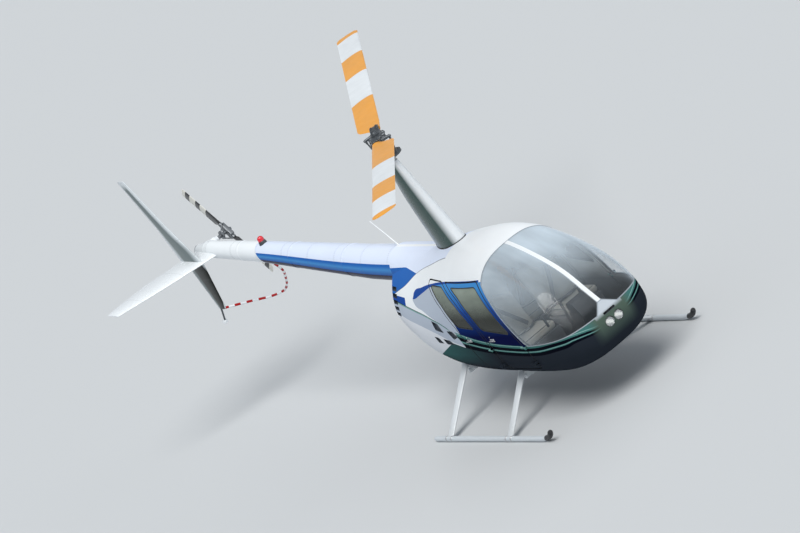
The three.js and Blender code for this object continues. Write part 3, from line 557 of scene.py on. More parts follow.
def teardrop(front, rear, half, count=22):
    """Streamlined outline, thickest at a third, as rows of position and offset."""
    u = np.linspace(0, 1, count) ** 1.8
    y = half * 2.43 * (np.sqrt(u) * 1.18 - 0.62 * u - 0.56 * u * u)
    y = np.maximum(y, half * 0.05)
    y[0] = 0
    upper = np.stack((front + (rear - front) * u, y), axis=-1)
    lower = upper[:0:-1] * np.array((1, -1))
    return np.concatenate((upper, lower))


# Placing pieces.

def piece(name, mesh, finishes, body, replaces=(), sharp=32):
    """Puts a mesh in the scene as a finished piece that rides on a body."""
    mesh = mesh.copy()
    mesh.transform(Matrix.Translation(MAST))
    mesh.name = name
    marks = [0] * len(mesh.polygons)
    mesh.polygons.foreach_get("material_index", marks)
    mesh.materials.clear()
    for key in finishes.split():
        mesh.materials.append(finish(key))
    last = len(mesh.materials) - 1
    mesh.polygons.foreach_set("material_index", [min(mark, last) for mark in marks])
    mesh.polygons.foreach_set("use_smooth", [True] * len(mesh.polygons))
    mesh.set_sharp_from_angle(angle=math.radians(sharp))
    thing = bpy.data.objects.new(name, mesh)
    bpy.context.scene.collection.objects.link(thing)
    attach(thing, body)
    if replaces:
        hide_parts(*replaces)
    return thing


def finish_node(node, key):
    """Gives a carried-over CAD node its finish."""
    thing = frame["nodes"][node]
    if not thing.material_slots:
        thing.data.materials.append(finish(key))
    for entry in thing.material_slots:
        entry.link = "OBJECT"
        entry.material = finish(key)


# Finishes.

class Value:
    """A number in a material's nodes, usable in ordinary expressions."""

    def __init__(self, tree, socket):
        self.tree = tree
        self.socket = socket

    def maths(self, operation, *others, swapped=False):
        node = self.tree.nodes.new("ShaderNodeMath")
        node.operation = operation
        terms = (self,) + others
        if swapped:
            terms = terms[::-1]
        for place, term in zip(node.inputs, terms):
            if isinstance(term, Value):
                self.tree.links.new(term.socket, place)
            else:
                place.default_value = term
        return Value(self.tree, node.outputs[0])

    def __add__(self, other):
        return self.maths("ADD", other)

    __radd__ = __add__

    def __sub__(self, other):
        return self.maths("SUBTRACT", other)

    def __rsub__(self, other):
        return self.maths("SUBTRACT", other, swapped=True)

    def __mul__(self, other):
        return self.maths("MULTIPLY", other)

    __rmul__ = __mul__

    def __truediv__(self, other):
        return self.maths("DIVIDE", other)

    def __rtruediv__(self, other):
        return self.maths("DIVIDE", other, swapped=True)

    def __pow__(self, other):
        return self.maths("POWER", other)

    def __lt__(self, other):
        return self.maths("LESS_THAN", other)

    def __gt__(self, other):
        return self.maths("GREATER_THAN", other)

    def __abs__(self):
        return self.maths("ABSOLUTE")

    def wave(self):
        return self.maths("SINE")

    def root(self):
        return self.maths("SQRT")

    def repeat(self, length):
        """Distance to the middle of the nearest repeat, 0 to half a length."""
        return abs(self.maths("WRAP", length / 2, -length / 2))

    def lesser(self, other):
        return self.maths("MINIMUM", other)

    def greater(self, other):
        return self.maths("MAXIMUM", other)

    def clamped(self):
        return self.lesser(1.0).greater(0.0)

    def ramp(self, start, end):
        """0 at start, 1 at end, straight between and held outside."""
        return ((self - start) / (end - start)).clamped()


class Finish:
    """One procedural material, built from node expressions."""

    def __init__(self, name, **settings):
        self.material = bpy.data.materials.new(name)
        self.material.use_nodes = True
        self.tree = self.material.node_tree
        self.shader = self.tree.nodes["Principled BSDF"]
        for key, value in settings.items():
            self.put(self.shader, socket_name(key), value)

    def put(self, node, key, value):
        place = node.inputs[key]
        if isinstance(value, Value):
            value = value.socket
        if isinstance(value, bpy.types.NodeSocket):
            self.tree.links.new(value, place)
        elif place.type == "RGBA" and len(value) == 3:
            place.default_value = (*value, 1)
        else:
            place.default_value = value

    def node(self, kind, settings=None, inputs=None):
        """Any node: its settings first, then the values or links of its sockets."""
        made = self.tree.nodes.new(kind)
        for key, value in (settings or {}).items():
            if key == "points":
                curve = made.mapping.curves[0]
                while len(curve.points) < len(value):
                    curve.points.new(0.5, 0.5)
                for point, place in zip(curve.points, sorted(value)):
                    point.location = place
                made.mapping.update()
            else:
                setattr(made, key, value)
        for key, value in (inputs or {}).items():
            self.put(made, key, value)
        return made

    def coords(self):
        return self.node("ShaderNodeTexCoord").outputs["Object"]

    def place(self):
        """Position from the mast, in metres, as x, y, z."""
        split = self.node("ShaderNodeSeparateXYZ", inputs={"Vector": self.coords()})
        x, y, z = (Value(self.tree, split.outputs[c]) for c in "XYZ")
        return x - MAST_X, y - MAST_Y, z

    def stretched(self, scale):
        return self.node("ShaderNodeMapping", inputs={"Vector": self.coords(), "Scale": scale}).outputs[0]

    def edge(self):
        """0 where a surface faces the eye, 1 where it turns away."""
        weight = self.node("ShaderNodeLayerWeight", inputs={"Blend": 0.5})
        return Value(self.tree, weight.outputs["Facing"]) ** 4.0

    def noise(self, scale, detail, roughness=0.5, vector=None):
        made = self.node("ShaderNodeTexNoise", inputs={
            "Vector": vector or self.coords(), "Scale": scale, "Detail": detail, "Roughness": roughness})
        return Value(self.tree, made.outputs["Fac"])

    def line(self, x, points, low=-6.5, high=2.7, top=3.2):
        """Height of a smooth line through points, at x."""
        rows = [((px - low) / (high - low), pz / top) for px, pz in points]
        made = self.node("ShaderNodeFloatCurve", {"points": rows}, {"Value": (x - low) / (high - low)})
        return Value(self.tree, made.outputs[0]) * top

    def mix(self, share, first, second, blend="MIX"):
        made = self.node("ShaderNodeMix", {"data_type": "RGBA", "blend_type": blend},
                         {0: share, 6: first, 7: second})
        return made.outputs[2]

    def layers(self, tone, *rows):
        """Colour with others laid over it in turn, each row a share and a colour."""
        for share, ink in rows:
            tone = self.mix(share, tone, ink)
        return tone

    def shade(self, color, share):
        """Colour made darker or lighter by a share around 1."""
        gray = self.node("ShaderNodeCombineColor", inputs={0: share, 1: share, 2: share}).outputs[0]
        return self.mix(1.0, color, gray, "MULTIPLY")

    def set(self, **values):
        for key, value in values.items():
            self.put(self.shader, socket_name(key), value)
        return self

    def bump(self, height, strength, distance):
        made = self.node("ShaderNodeBump", inputs={
            "Height": height, "Strength": strength, "Distance": distance})
        self.put(self.shader, "Normal", made.outputs[0])
        return self


def socket_name(key):
    return key.replace("_", " ").title().replace("Ior", "IOR")


def color(name):
    return tuple(getattr(bpy.context.scene.helicopter_colors, name))


def size(name):
    """A setting of the sizes group, rounded, since it is stored in single precision."""
    return round(getattr(bpy.context.scene.helicopter_sizes, name), 6)


@functools.cache
def finish(key):
    """The finish of that name, built once."""
    return MAKERS[key]().material


def gloss_paint(made, tone, roughness=0.22, coat=0.3):
    """Wet-looking aircraft paint: faint orange peel, dust and polish marks over the tone."""
    patchy = made.noise(2.2, 4, 0.6)
    dust = made.noise(9.0, 5, 0.65)
    made.set(base_color=made.shade(tone, 0.94 + 0.1 * patchy),
             roughness=roughness + 0.10 * dust.ramp(0.45, 0.8), coat_weight=coat,
             coat_roughness=0.12)
    return made.bump(made.noise(260, 2) * 0.4 + made.noise(38, 2) * 0.6, 0.05, 0.0006)


def grained(name, tone, shade, roughness, bump, **settings):
    """Even material. Shade is level, spread, grain and detail; roughness is a number or level, spread
    and grain; bump is grain, detail, strength and depth."""
    made = Finish(name, **settings)
    level, spread, grain, detail = shade
    made.set(base_color=made.shade(tone, level + spread * made.noise(grain, detail)))
    if isinstance(roughness, tuple):
        level, spread, grain = roughness
        roughness = level + spread * made.noise(grain, 2)
    made.set(roughness=roughness)
    if bump:
        grain, detail, strength, depth = bump
        made.bump(made.noise(grain, detail), strength, depth)
    return made


def metal(name, tone, roughness, grain=90.0, metallic=1.0):
    made = Finish(name, metallic=metallic)
    scuffs = made.noise(grain, 4, 0.6)
    made.set(base_color=made.shade(tone, 0.78 + 0.4 * made.noise(7, 4)),
             roughness=roughness + 0.18 * scuffs)
    return made.bump(scuffs, 0.12, 0.0006)


def pod_paint():
    """The pod's pattern: bands, arc and stripes follow lines read off the side view, as x and height."""
    made = Finish("pod_paint", specular_ior_level=0.0)
    x, y, z = made.place()
    white, silver, navy, blue = color("white"), color("silver"), color("navy"), color("blue")
    slate, green, dark, pale = color("slate"), color("stripe"), color("stripe_dark"), color("stripe_pale")
    wide = abs(y)

    def line(points, top=3.2):
        return made.line(x, points, -1.2, 2.7, top)

    upper = line(((0.30, 1.120), (0.48, 1.075), (0.886, 0.986), (1.42, 0.928), (1.8, 0.914),
                  (2.336, 0.918), (2.43, 0.900), (2.504, 0.867), (2.533, 0.838), (2.6, 0.80)))
    depth = line(((0.30, 0.19), (0.45, 0.185), (0.75, 0.160), (1.0, 0.145), (1.45, 0.135),
                  (2.27, 0.128), (2.42, 0.095), (2.53, 0.070)), 0.2)
    down = (upper - z) / depth
    seam = line(((-1.2, 1.400), (-0.94, 1.472), (-0.734, 1.528), (-0.376, 1.653), (0.021, 1.737),
                 (0.334, 1.790), (1.0, 1.83)))
    arc_out = line(((-0.52, 1.42), (-0.484, 1.446), (-0.43, 1.502), (-0.2, 1.552), (0.011, 1.590),
                    (0.511, 1.640), (1.3, 1.643)))
    arc_in = line(((-0.52, 1.418), (-0.484, 1.428), (-0.43, 1.434), (-0.28, 1.475), (-0.124, 1.520),
                   (0.074, 1.572), (0.3, 1.603), (0.553, 1.624), (1.3, 1.626)))
    sweep = line(((-0.80, 1.50), (-0.752, 1.430), (-0.740, 1.394), (-0.601, 1.345), (-0.376, 1.313),
                  (-0.166, 1.262), (0.084, 1.190), (0.282, 1.100), (0.46, 0.995), (0.7, 0.86)))
    inside = line(((-0.56, 1.52), (-0.517, 1.44), (-0.441, 1.370), (-0.26, 1.328), (-0.10, 1.272),
                   (0.10, 1.205), (0.29, 1.112), (0.46, 1.003), (0.7, 0.86)))
    thin = line(((-1.15, 1.372), (-0.984, 1.358), (-0.527, 1.317), (-0.104, 1.252), (0.199, 1.155),
                 (0.365, 1.026), (0.449, 0.958), (0.5, 0.92)))
    crease = line(((-1.15, 1.25), (-0.938, 1.216), (-0.517, 1.161), (-0.156, 1.085), (0.2, 0.97),
                   (0.6, 0.88)))
    behind = x < 0.52
    beside = (x < 0.44) * (wide > 0.1)
    tone = made.layers(
        white,
        ((z < thin) * behind * (z > crease), silver),
        ((z < crease) * behind, color("cowl")),
        ((z < arc_in) * (z > inside) * (x > -0.545) * (x < 0.62), silver),
        ((z < arc_out) * (z > arc_in) * (x > -0.495) * (x < 1.26), blue),
        ((z < 1.424) * (z > thin) * (z < sweep) * (x < -0.745), blue),
        ((z < thin) * (z > thin - 0.013) * beside, pale),
        ((z > thin) * (z < thin + 0.007) * beside, dark),
        ((z > seam) * (x < 0.36) * (wide > 0.02), color("boom_top")),
        ((z > seam) * (z < 1.662 - 0.05 * (x + 0.75).greater(0)) * (x < -0.32) * (wide > 0.10),
         color("boom_blue")),
        ((abs(z - seam) < 0.0028) * (x < 0.36) * 0.6, (0.02, 0.03, 0.05)))
    # Door blue darkens to navy below and lightens towards the top: painted shade low down and a painted sky
    # reflection high up.
    pillars_with_painted_light = made.layers(navy, (z.ramp(1.04, 1.36), blue), (z.ramp(1.34, 1.58), color("blue_light")))
    door_rear = (0.40 + (1.58 - z).greater(0) * 0.12).lesser(0.47 + (1.17 - z) * 0.55)
    on_doors = (z < arc_in) * (x > door_rear) * (wide > 0.30)
    low_side = made.layers(color("teal"), (x.ramp(-0.10, 0.90), slate), (z.ramp(0.80, 0.62), slate))
    belly = (x > -0.072 + 3.02 * (z - 0.896)) * (z < upper - depth)
    ahead = (x > 0.34 + (1.12 - z) * 0.25) * (wide > 0.16)
    tone = made.layers(
        tone, (on_doors * (z > upper), pillars_with_painted_light), ((x > 1.95) * (z > upper), green), (belly, low_side),
        ((down > 0) * (down < 1) * ahead, dark),
        *(((down > start) * (down < end) * ahead, ink) for start, end, ink in (
            (0.0, 0.27, green), (0.04, 0.11, pale), (0.54, 0.70, green), (0.58, 0.63, pale))),
        (wide.ramp(0.30, 0.19) * (x > 2.35), made.mix(z.ramp(0.60, 0.82), slate, color("nose"))),
        (z.ramp(0.868, 0.915) * (x > 2.30) * (wide < 0.185), color("nose_cap")))
    return gloss_paint(made, tone, 0.16, 0.03 + 0.27 * z.ramp(1.30, 1.60))


def liner():
    made = Finish("cabin_liner")
    # Darker below the belt line: painted shade in the footwell.
    tone = made.mix(made.place()[2].ramp(0.86, 1.04), (0.045, 0.047, 0.050), color("liner"))
    made.set(base_color=made.shade(tone, 0.9 + 0.2 * made.noise(14, 4)), roughness=0.85)
    return made.bump(made.noise(420, 3), 0.35, 0.001)


def recess():
    made = Finish("inlet_screen")
    x, _, z = made.place()
    # Wire mesh on a near-black ground; the near-black stands in for the dark duct behind the inlets and is
    # painted shade.
    mesh = (x.repeat(0.008) < 0.0022) + (z.repeat(0.008) < 0.0022)
    return made.set(base_color=made.mix(mesh.clamped(), (0.006, 0.008, 0.011), (0.06, 0.075, 0.095)),
                    roughness=0.5, metallic=0.3)


def gearbox_paint():
    made = Finish("gearbox_paint")
    x, y, _ = made.place()
    tone = made.mix((x < -5.918) * (y < 0.07), color("white"), (0.035, 0.055, 0.085))
    return gloss_paint(made, tone)


def fairing_paint():
    """White, with a dark right face between the leading and the trailing edge."""
    made = Finish("fairing_paint", specular_ior_level=0.3)
    x, y, z = made.place()
    lead = made.line(z, [(level, front) for level, front, _, _ in FAIRING], 1.2, 3.2, 1.0)
    back = made.line(z, [(level, -rear) for level, _, rear, _ in FAIRING], 1.2, 3.2, 1.0)
    share = (lead - x) / (lead + back)
    side = share.ramp(0.01, 0.12) * (1 - share.ramp(0.86, 0.94)) * y.ramp(0.02, -0.02)
    tone = made.mix(side, color("white"), color("fairing_side"))
    return gloss_paint(made, tone, 0.24, 0.12)


def boom_paint():
    made = Finish("boom_paint", specular_ior_level=0.03)
    x, y, z = made.place()
    middle = made.line(x, [(px, pz) for px, pz, _ in BOOM[::-1]])
    radius = made.line(x, [(px, r) for px, _, r in BOOM[::-1]], top=0.4)
    high = (z - middle) / radius
    seam = x.repeat(0.62) < 0.0022
    rivets = abs(x.repeat(0.62) - 0.016) < 0.0032
    around = y.maths("ARCTAN2", z - middle).repeat(0.115) * radius < 0.0032
    # The light blue band along the side is a painted sky reflection, and the navy underside is painted
    # shade.
    tone = made.layers(
        color("boom_blue"), (high.ramp(0.40, 0.20), color("blue_light")),
        (high.ramp(0.18, -0.10), color("boom_blue")), (high > 0.49, color("boom_top")),
        (high.ramp(-0.12, -0.18), color("navy")), (x < -4.30 - 0.065 * high, color("white")),
        ((seam + rivets * around).clamped() * 0.35, (0.10, 0.12, 0.15)))
    return gloss_paint(made, tone, 0.2, 0.03 + 0.22 * high.ramp(0.3, 0.7))


def banded(made, out, ground, ink, bands):
    """Ground with bands of ink, each from and to a share of the way out."""
    return made.layers(ground, *(((out > start) * (out < end), ink) for start, end in bands))


def blade_paint():
    made = Finish("blade_paint", specular_ior_level=0.3)
    x, y, _ = made.place()
    out = (x * x + y * y).root() / ROTOR_RADIUS
    tone = banded(made, out, color("orange"), color("white"), ((0.37, 0.61), (0.79, 0.965)))
    return gloss_paint(made, made.shade(tone, 0.88 + 0.2 * made.noise(6, 5, 0.6)), 0.3, 0.06)


def tail_blade_paint():
    made = Finish("tail_blade_paint")
    x, _, z = made.place()
    dx, dz = x - TAIL_AXIS[0], z - TAIL_AXIS[2]
    out = (dx * dx + dz * dz).root() / TAIL_RADIUS
    tone = banded(made, out, (0.012, 0.013, 0.015), (0.75, 0.74, 0.68),
                  ((0.47, 0.60), (0.70, 0.83), (0.925, 1.1)))
    return gloss_paint(made, tone, 0.35)


def screen_glass():
    """Clear below, with a pale haze above."""
    made = Finish("screen_glass", ior=1.6, specular_ior_level=0.9)
    z = made.place()[2]
    reflection_streaks = made.noise(1.6, 3, 0.5, made.stretched((0.5, 2.2, 0.9)))
    painted_sky_haze = 0.015 + 0.06 * z.ramp(0.95, 1.25) + 0.33 * z.ramp(1.20, 1.66)
    return made.set(base_color=made.shade(color("glass"), 0.9 + 0.2 * reflection_streaks),
                    alpha=(painted_sky_haze * (0.2 + 1.6 * reflection_streaks) + 1.1 * made.edge()).clamped(),
                    roughness=0.05 + 0.06 * reflection_streaks)


def side_glass():
    made = Finish("side_glass", ior=1.55, specular_ior_level=0.15)
    reflection_streaks = made.noise(4, 4, 0.55, made.stretched((0.6, 2.0, 1.5)))
    # Paler towards the top and streaked: a painted reflection; darker and more opaque below.
    high = made.place()[2].ramp(1.25, 1.55)
    tone = made.mix(high, color("side_glass"), color("side_glass_top"))
    return made.set(base_color=made.shade(tone, 0.7 + 0.6 * reflection_streaks),
                    alpha=(0.80 - 0.22 * high + 0.2 * (reflection_streaks - 0.5)).clamped(),
                    roughness=0.06 + 0.1 * reflection_streaks)


def lens_glass():
    made = Finish("lens_glass", ior=1.5)
    return made.set(base_color=(0.9, 0.93, 0.93), alpha=0.25 + 0.1 * made.noise(40, 2), roughness=0.04,
                    coat_weight=1.0)


def reflector():
    """Bright mirror, dark in its upper part."""
    made = Finish("reflector", metallic=1.0)
    low = (made.place()[2] - LAMP_Z).ramp(0.022, -0.006)
    return made.set(base_color=made.mix(low, (0.05, 0.06, 0.055), (0.88, 0.91, 0.92)),
                    roughness=0.10 + 0.08 * made.noise(80, 2))


def bulb():
    made = Finish("bulb_frost", emission_strength=0.6)
    return made.set(base_color=(0.9, 0.9, 0.86), roughness=0.4 + 0.1 * made.noise(90, 2),
                    emission_color=(1.0, 0.98, 0.9))


def red_lens():
    made = Finish("red_lens", ior=1.5)
    ribs = (made.place()[2].repeat(0.010) / 0.005).clamped()
    made.set(base_color=made.mix(ribs, (0.62, 0.004, 0.018), (0.82, 0.015, 0.035)), roughness=0.16,
             coat_weight=1.0)
    return made.bump(ribs, 0.4, 0.001)


def gear_paint():
    """Pale paint with grime near the ground."""
    made = Finish("gear_paint")
    grime = made.noise(22, 5, 0.65) * made.place()[2].ramp(0.30, 0.02)
    tone = made.mix(grime.ramp(0.25, 0.8) * 0.5, color("gear"), (0.30, 0.30, 0.28))
    return gloss_paint(made, tone, 0.3)


def skid_paint():
    """Grey paint, worn below and scraped along, with black front ends."""
    made = Finish("skid_paint")
    x, _, z = made.place()
    wear = made.noise(35, 6, 0.7) * z.ramp(0.030, 0.0)
    scrapes = made.noise(9, 4, 0.6, made.stretched((1, 14, 14)))
    tone = made.layers(color("skid"), (wear.ramp(0.35, 0.6), (0.20, 0.20, 0.19)),
                       (x > 1.80, (0.015, 0.016, 0.018)))
    made.set(base_color=made.shade(tone, 0.85 + 0.3 * scrapes), roughness=0.32 + 0.2 * scrapes)
    return made.bump(scrapes, 0.15, 0.0008)


def fin_paint():
    """Pale edges and a darker middle, read between the leading and the trailing edge by height."""
    made = Finish("fin_paint", specular_ior_level=0.2)
    x, _, z = made.place()
    lead = made.line(z, ((1.24, 0.656), (1.885, 0.455), (2.33, 0.752), (3.015, 1.10)), 1.0, 3.2, 2.0)
    back = made.line(z, ((1.24, 0.816), (1.885, 0.980), (2.33, 1.042), (3.015, 1.252)), 1.0, 3.2, 2.0)
    share = (-5.0 - x - lead) / (back - lead)
    upper = share.ramp(0.08, 0.28) * (1 - share.ramp(0.74, 0.92)) * z.ramp(2.98, 2.90)
    lower = share.ramp(0.05, 0.10) * (1 - share.ramp(0.58, 0.68))
    rivets = (z.repeat(0.11) < 0.0030) * (x.repeat(0.045) < 0.0030)
    seams = z.repeat(0.55) < 0.0016
    tone = made.layers(color("fin"), (upper, color("fin_middle")), ((z < 1.88) * lower, color("fin_low")),
                       ((rivets + seams).clamped() * 0.4, (0.12, 0.13, 0.14)))
    return gloss_paint(made, tone, 0.28, 0.04)


def stabilizer_paint():
    made = Finish("stabilizer_paint")
    x, y, _ = made.place()
    rivets = (y.repeat(0.16) < 0.0030) * (x.repeat(0.045) < 0.0030)
    seams = y.repeat(0.48) < 0.0016
    tone = made.mix((rivets + seams).clamped() * 0.35, color("white"), (0.14, 0.15, 0.16))
    return gloss_paint(made, tone, 0.24)


def seat_cloth():
    made = Finish("seat_cloth", sheen_weight=0.35, sheen_roughness=0.5)
    x, y, z = made.place()
    warp = ((x + z) * 1400).wave() * (y * 1400).wave()
    tone = made.mix(made.noise(3, 3), color("seat"), tuple(0.72 * c for c in color("seat")))
    made.set(base_color=made.shade(tone, 0.88 + 0.14 * made.noise(160, 2)), roughness=0.9)
    return made.bump(warp * 0.5 + made.noise(90, 2), 0.35, 0.0012)


def webbing():
    made = Finish("belt_webbing", sheen_weight=0.2)
    x, y, z = made.place()
    rib = ((y + z + x) * 900).wave()
    made.set(base_color=made.shade((0.035, 0.037, 0.042), 0.85 + 0.25 * rib), roughness=0.75)
    return made.bump(rib, 0.5, 0.001)


def carpet():
    made = Finish("floor_carpet", sheen_weight=0.3)
    pile = made.noise(500, 3, 0.7)
    made.set(base_color=made.shade((0.10, 0.105, 0.11), 0.7 + 0.6 * pile), roughness=0.98)
    return made.bump(pile, 0.8, 0.004)


MAKERS = {
    "pod": pod_paint, "liner": liner, "recess": recess, "gearbox": gearbox_paint,
    "fairing": fairing_paint, "boom": boom_paint, "blade": blade_paint, "tail_blade": tail_blade_paint,
    "screen": screen_glass, "window": side_glass, "lens": lens_glass, "reflector": reflector,
    "bulb": bulb, "red_lens": red_lens, "gear": gear_paint, "skid": skid_paint, "fin": fin_paint,
    "stabilizer": stabilizer_paint, "cloth": seat_cloth, "webbing": webbing, "carpet": carpet,
    "white": lambda: gloss_paint(Finish("white_gloss"), color("white")),
    "red": lambda: gloss_paint(Finish("guard_red", specular_ior_level=0.2), (0.44, 0.012, 0.014),
                               0.3, 0.05),
    "hub": lambda: metal("hub_metal", (0.11, 0.12, 0.13), 0.30, metallic=0.8),
    "tail_hub": lambda: metal("tail_hub_metal", (0.22, 0.235, 0.25), 0.34, metallic=0.8),
    "steel": lambda: metal("bright_steel", (0.55, 0.56, 0.57), 0.22),
    "sheet": lambda: metal("sheet_metal", (0.42, 0.45, 0.47), 0.38),
    "engine": lambda: metal("engine_metal", (0.24, 0.25, 0.26), 0.5, 40),
    "exhaust": lambda: metal("exhaust_metal", (0.26, 0.21, 0.17), 0.42),
    "rubber": lambda: grained("seal_rubber", (0.018, 0.02, 0.021), (0.8, 0.5, 30, 3), (0.55, 0.25, 60),
                              (300, 2, 0.2, 0.0008)),
    "sealant": lambda: grained("pale_sealant", (0.30, 0.34, 0.38), (0.8, 0.4, 30, 3), (0.5, 0.2, 60),
                               (300, 2, 0.2, 0.0008)),
    "piping": lambda: grained("seat_piping", (0.05, 0.055, 0.06), (0.8, 0.4, 60, 3), 0.6,
                              (200, 2, 0.3, 0.0008)),
    "moulded": lambda: grained("moulded_grey", (0.085, 0.092, 0.098), (0.85, 0.3, 12, 4), (0.6, 0.1, 50),
                               (500, 3, 0.3, 0.0008)),
    "console": lambda: grained("console_plastic", (0.022, 0.024, 0.027), (0.8, 0.4, 10, 4),
                               (0.5, 0.15, 70), (600, 3, 0.3, 0.0007)),
    "dial": lambda: grained("dial_face", (0.010, 0.010, 0.011), (0.8, 0.4, 40, 2), 0.25, None),
    # Dial marks with a faint painted glow.
    "marks": lambda: grained("dial_marks", (0.8, 0.8, 0.76), (0.9, 0.1, 40, 2), 0.5, None,
                             emission_strength=0.15, emission_color=(0.8, 0.8, 0.76)),
}


# Shared forms of the pod, each built once.

@functools.cache
def pod_wall():
    return carve(marked(pod_form(0), OUTSIDE), marked(pod_form(size("wall"), OVERRUN), LINING))


@functools.cache
def pane_wall():
    return carve(hull_form(0.002), hull_form(0.002 + size("glass"), OVERRUN))


@functools.cache
def gasket_wall():
    return carve(hull_form(-0.0012), hull_form(0.004, OVERRUN))


@functools.cache
def cabin_space():
    return hull_form(size("wall") + CLEAR, OVERRUN)


@functools.cache
def louvre_pockets():
    holes = united([prism_y(rounded(outline, 0.014), *POD_WIDE) for outline in LOUVRES])
    return marked(carve(holes, pod_form(0.018, OVERRUN)), RECESS)


def door_outline(name, grow=0.0):
    return rounded(grown(DOORS[name][0], grow), DOOR_CORNER)


def windscreen_cutter(grow=0.0):
    return carve(prism_y(grown(WINDSCREEN, grow), *POD_WIDE), prism_x(grown(NOSE_CAP, -grow), 2.2, 2.7))


def openings_cut(mesh):
    """Takes the door and windscreen openings out of a piece of shell."""
    for name in DOORS:
        for _, sign in SIDES:
            tool = prism_y(door_outline(name, size("door_gap")), *side_span(sign, *DOOR_REACH))
            mesh = carve(mesh, marked(tool, RIM))
    return carve(mesh, marked(windscreen_cutter(), RIM))


PANEL = "pod liner rubber recess"


def hinge_pin(hinge, sign, low, high):
    return rod((hinge["x"], sign * hinge["y"], low), (hinge["x"], sign * hinge["y"], high), HINGE_RADIUS)


def post_knuckles():
    """Halves of the hinges that stay on the posts, above and below those of the doors."""
    inner, outer = POST_KNUCKLE
    parts = []
    for hinge in HINGES.values():
        x, y = hinge["x"], hinge["y"]
        for _, sign in SIDES:
            for z, x0, x1 in hinge["heights"]:
                for zs in ((z + inner, z + outer), (z - outer, z - inner)):
                    parts += [hinge_pin(hinge, sign, *zs),
                              block((min(x0, x), max(x1, x)), side_span(sign, y - 0.005, y + 0.004), zs),
                              block((x0, x1), side_span(sign, y - 0.050, y - 0.005), zs)]
    return parts


def door_knuckles(hinge, sign):
    """Halves of a door's hinges that turn with it."""
    x, y, arm = hinge["x"], hinge["y"], hinge["arm"]
    parts = []
    for z, _, _ in hinge["heights"]:
        zs = (z - DOOR_KNUCKLE, z + DOOR_KNUCKLE)
        parts += [hinge_pin(hinge, sign, *zs),
                  block((arm - 0.015, x), side_span(sign, y - 0.004, y + 0.004), zs),
                  block((arm - 0.015, arm + 0.012), side_span(sign, y - 0.045, y - 0.004), zs)]
    return parts


def build_pod():
    region = ((SEAM_X, 2.10), (SEAM_X, BELT_Z), (1.800, BELT_Z), (1.800, 2.10))
    skin = carve(pod_wall(), marked(prism_y(region, *POD_WIDE), RIM), "INTERSECT")
    skin = carve(openings_cut(skin), louvre_pockets())
    piece("cabin_frame_skin", merged([skin] + post_knuckles()), PANEL, "fuselage",
          ["cabin_frame"])
    tub = carve(pod_wall(), marked(block((SEAM_X, 2.75), POD_WIDE, POD_HIGH), RIM), "INTERSECT")
    tub = carve(tub, marked(prism_y(grown(region, CLEAR), -0.95, 0.95), RIM))
    tub = openings_cut(tub)
    for _, sign in SIDES:
        hole = rod((2.3, sign * LAMP_Y, LAMP_Z), (2.7, sign * LAMP_Y, LAMP_Z), LAMP_RADIUS, sides=40)
        tub = carve(tub, marked(hole, OUTSIDE))
    tub = carve(tub, marked(prism_x(rounded(NOSE_SLOT, 0.012), 2.38, 2.6), RECESS))
    piece("cabin_tub_skin", tub, PANEL, "fuselage", ["cabin_tub"])
    cowl = carve(pod_wall(), marked(block((-1.3, SEAM_X - CLEAR), POD_WIDE, POD_HIGH), RIM), "INTERSECT")
    cowl = carve(cowl, louvre_pockets())
    for z in REAR_SLOTS:
        cowl = carve(cowl, marked(block((-1.142, -1.005), POD_WIDE, (z, z + 0.040)), RECESS))
    cowl = carve(cowl, marked(round_form(BOOM, CLEAR, ahead=CLEAR), RIM))
    cowl = carve(cowl, marked(rod((*EXHAUST, 0.5), (*EXHAUST, 0.9), 0.044), RIM))
    piece("engine_cowl_skin", cowl, PANEL, "fuselage", ["engine_cowl"])
    wall = size("wall")
    screen = carve(pod_form(wall + 0.001), pod_form(wall + 0.003, OVERRUN))
    screen = carve(screen, block((-1.146, -0.985), POD_WIDE, (1.195, 1.512)), "INTERSECT")
    screen = carve(screen, round_form(BOOM, 0.002, ahead=0.3))
    piece("cowl_inlet_screens", screen, "recess", "fuselage")


def build_windscreen():
    fill = windscreen_cutter(-CLEAR)
    pane = carve(pane_wall(), fill, "INTERSECT")
    for side, sign in SIDES:
        half = block(GLAZED_LONG, side_span(sign, POST_HALF + CLEAR, 0.95), GLAZED_HIGH)
        piece(f"windscreen_{side}", carve(pane, half, "INTERSECT"), "screen", "fuselage",
              [f"windshield_{side}"])
    post = carve(carve(pod_form(0), hull_form(0.020, OVERRUN)), fill, "INTERSECT")
    post = carve(post, block(GLAZED_LONG, (-POST_HALF, POST_HALF), GLAZED_HIGH), "INTERSECT")
    piece("windscreen_post", post, "white", "fuselage", ["windshield_post"])
    ring = carve(*(windscreen_cutter(reach) for reach in SEAL_REACH))
    seal = carve(gasket_wall(), ring, "INTERSECT")
    piece("windscreen_seal", seal, "sealant", "fuselage")


def build_doors():
    for name in DOORS:
        window = rounded(DOORS[name][1], WINDOW_CORNER)
        for side, sign in SIDES:
            body = f"{name}_{side}_door"
            ys = side_span(sign, *DOOR_REACH)
            leaf = carve(pod_wall(), marked(prism_y(door_outline(name), *ys), RIM), "INTERSECT")
            leaf = carve(leaf, marked(prism_y(window, *ys), RIM))
            piece(f"{name}_door_{side}_leaf", merged([leaf] + door_knuckles(HINGES[name], sign)), PANEL,
                  body, [f"{name}_door_{side}"])
            pane = carve(pane_wall(), prism_y(grown(window, -CLEAR), *ys), "INTERSECT")
            piece(f"{name}_window_{side}_pane", pane, "window", body,
                  [f"{name}_window_{side}"])
            ring = carve(*(prism_y(grown(window, reach), *ys) for reach in SEAL_REACH))
            piece(f"{name}_window_{side}_seal", carve(gasket_wall(), ring, "INTERSECT"), "rubber", body)
            build_handle(name, side, sign, body)


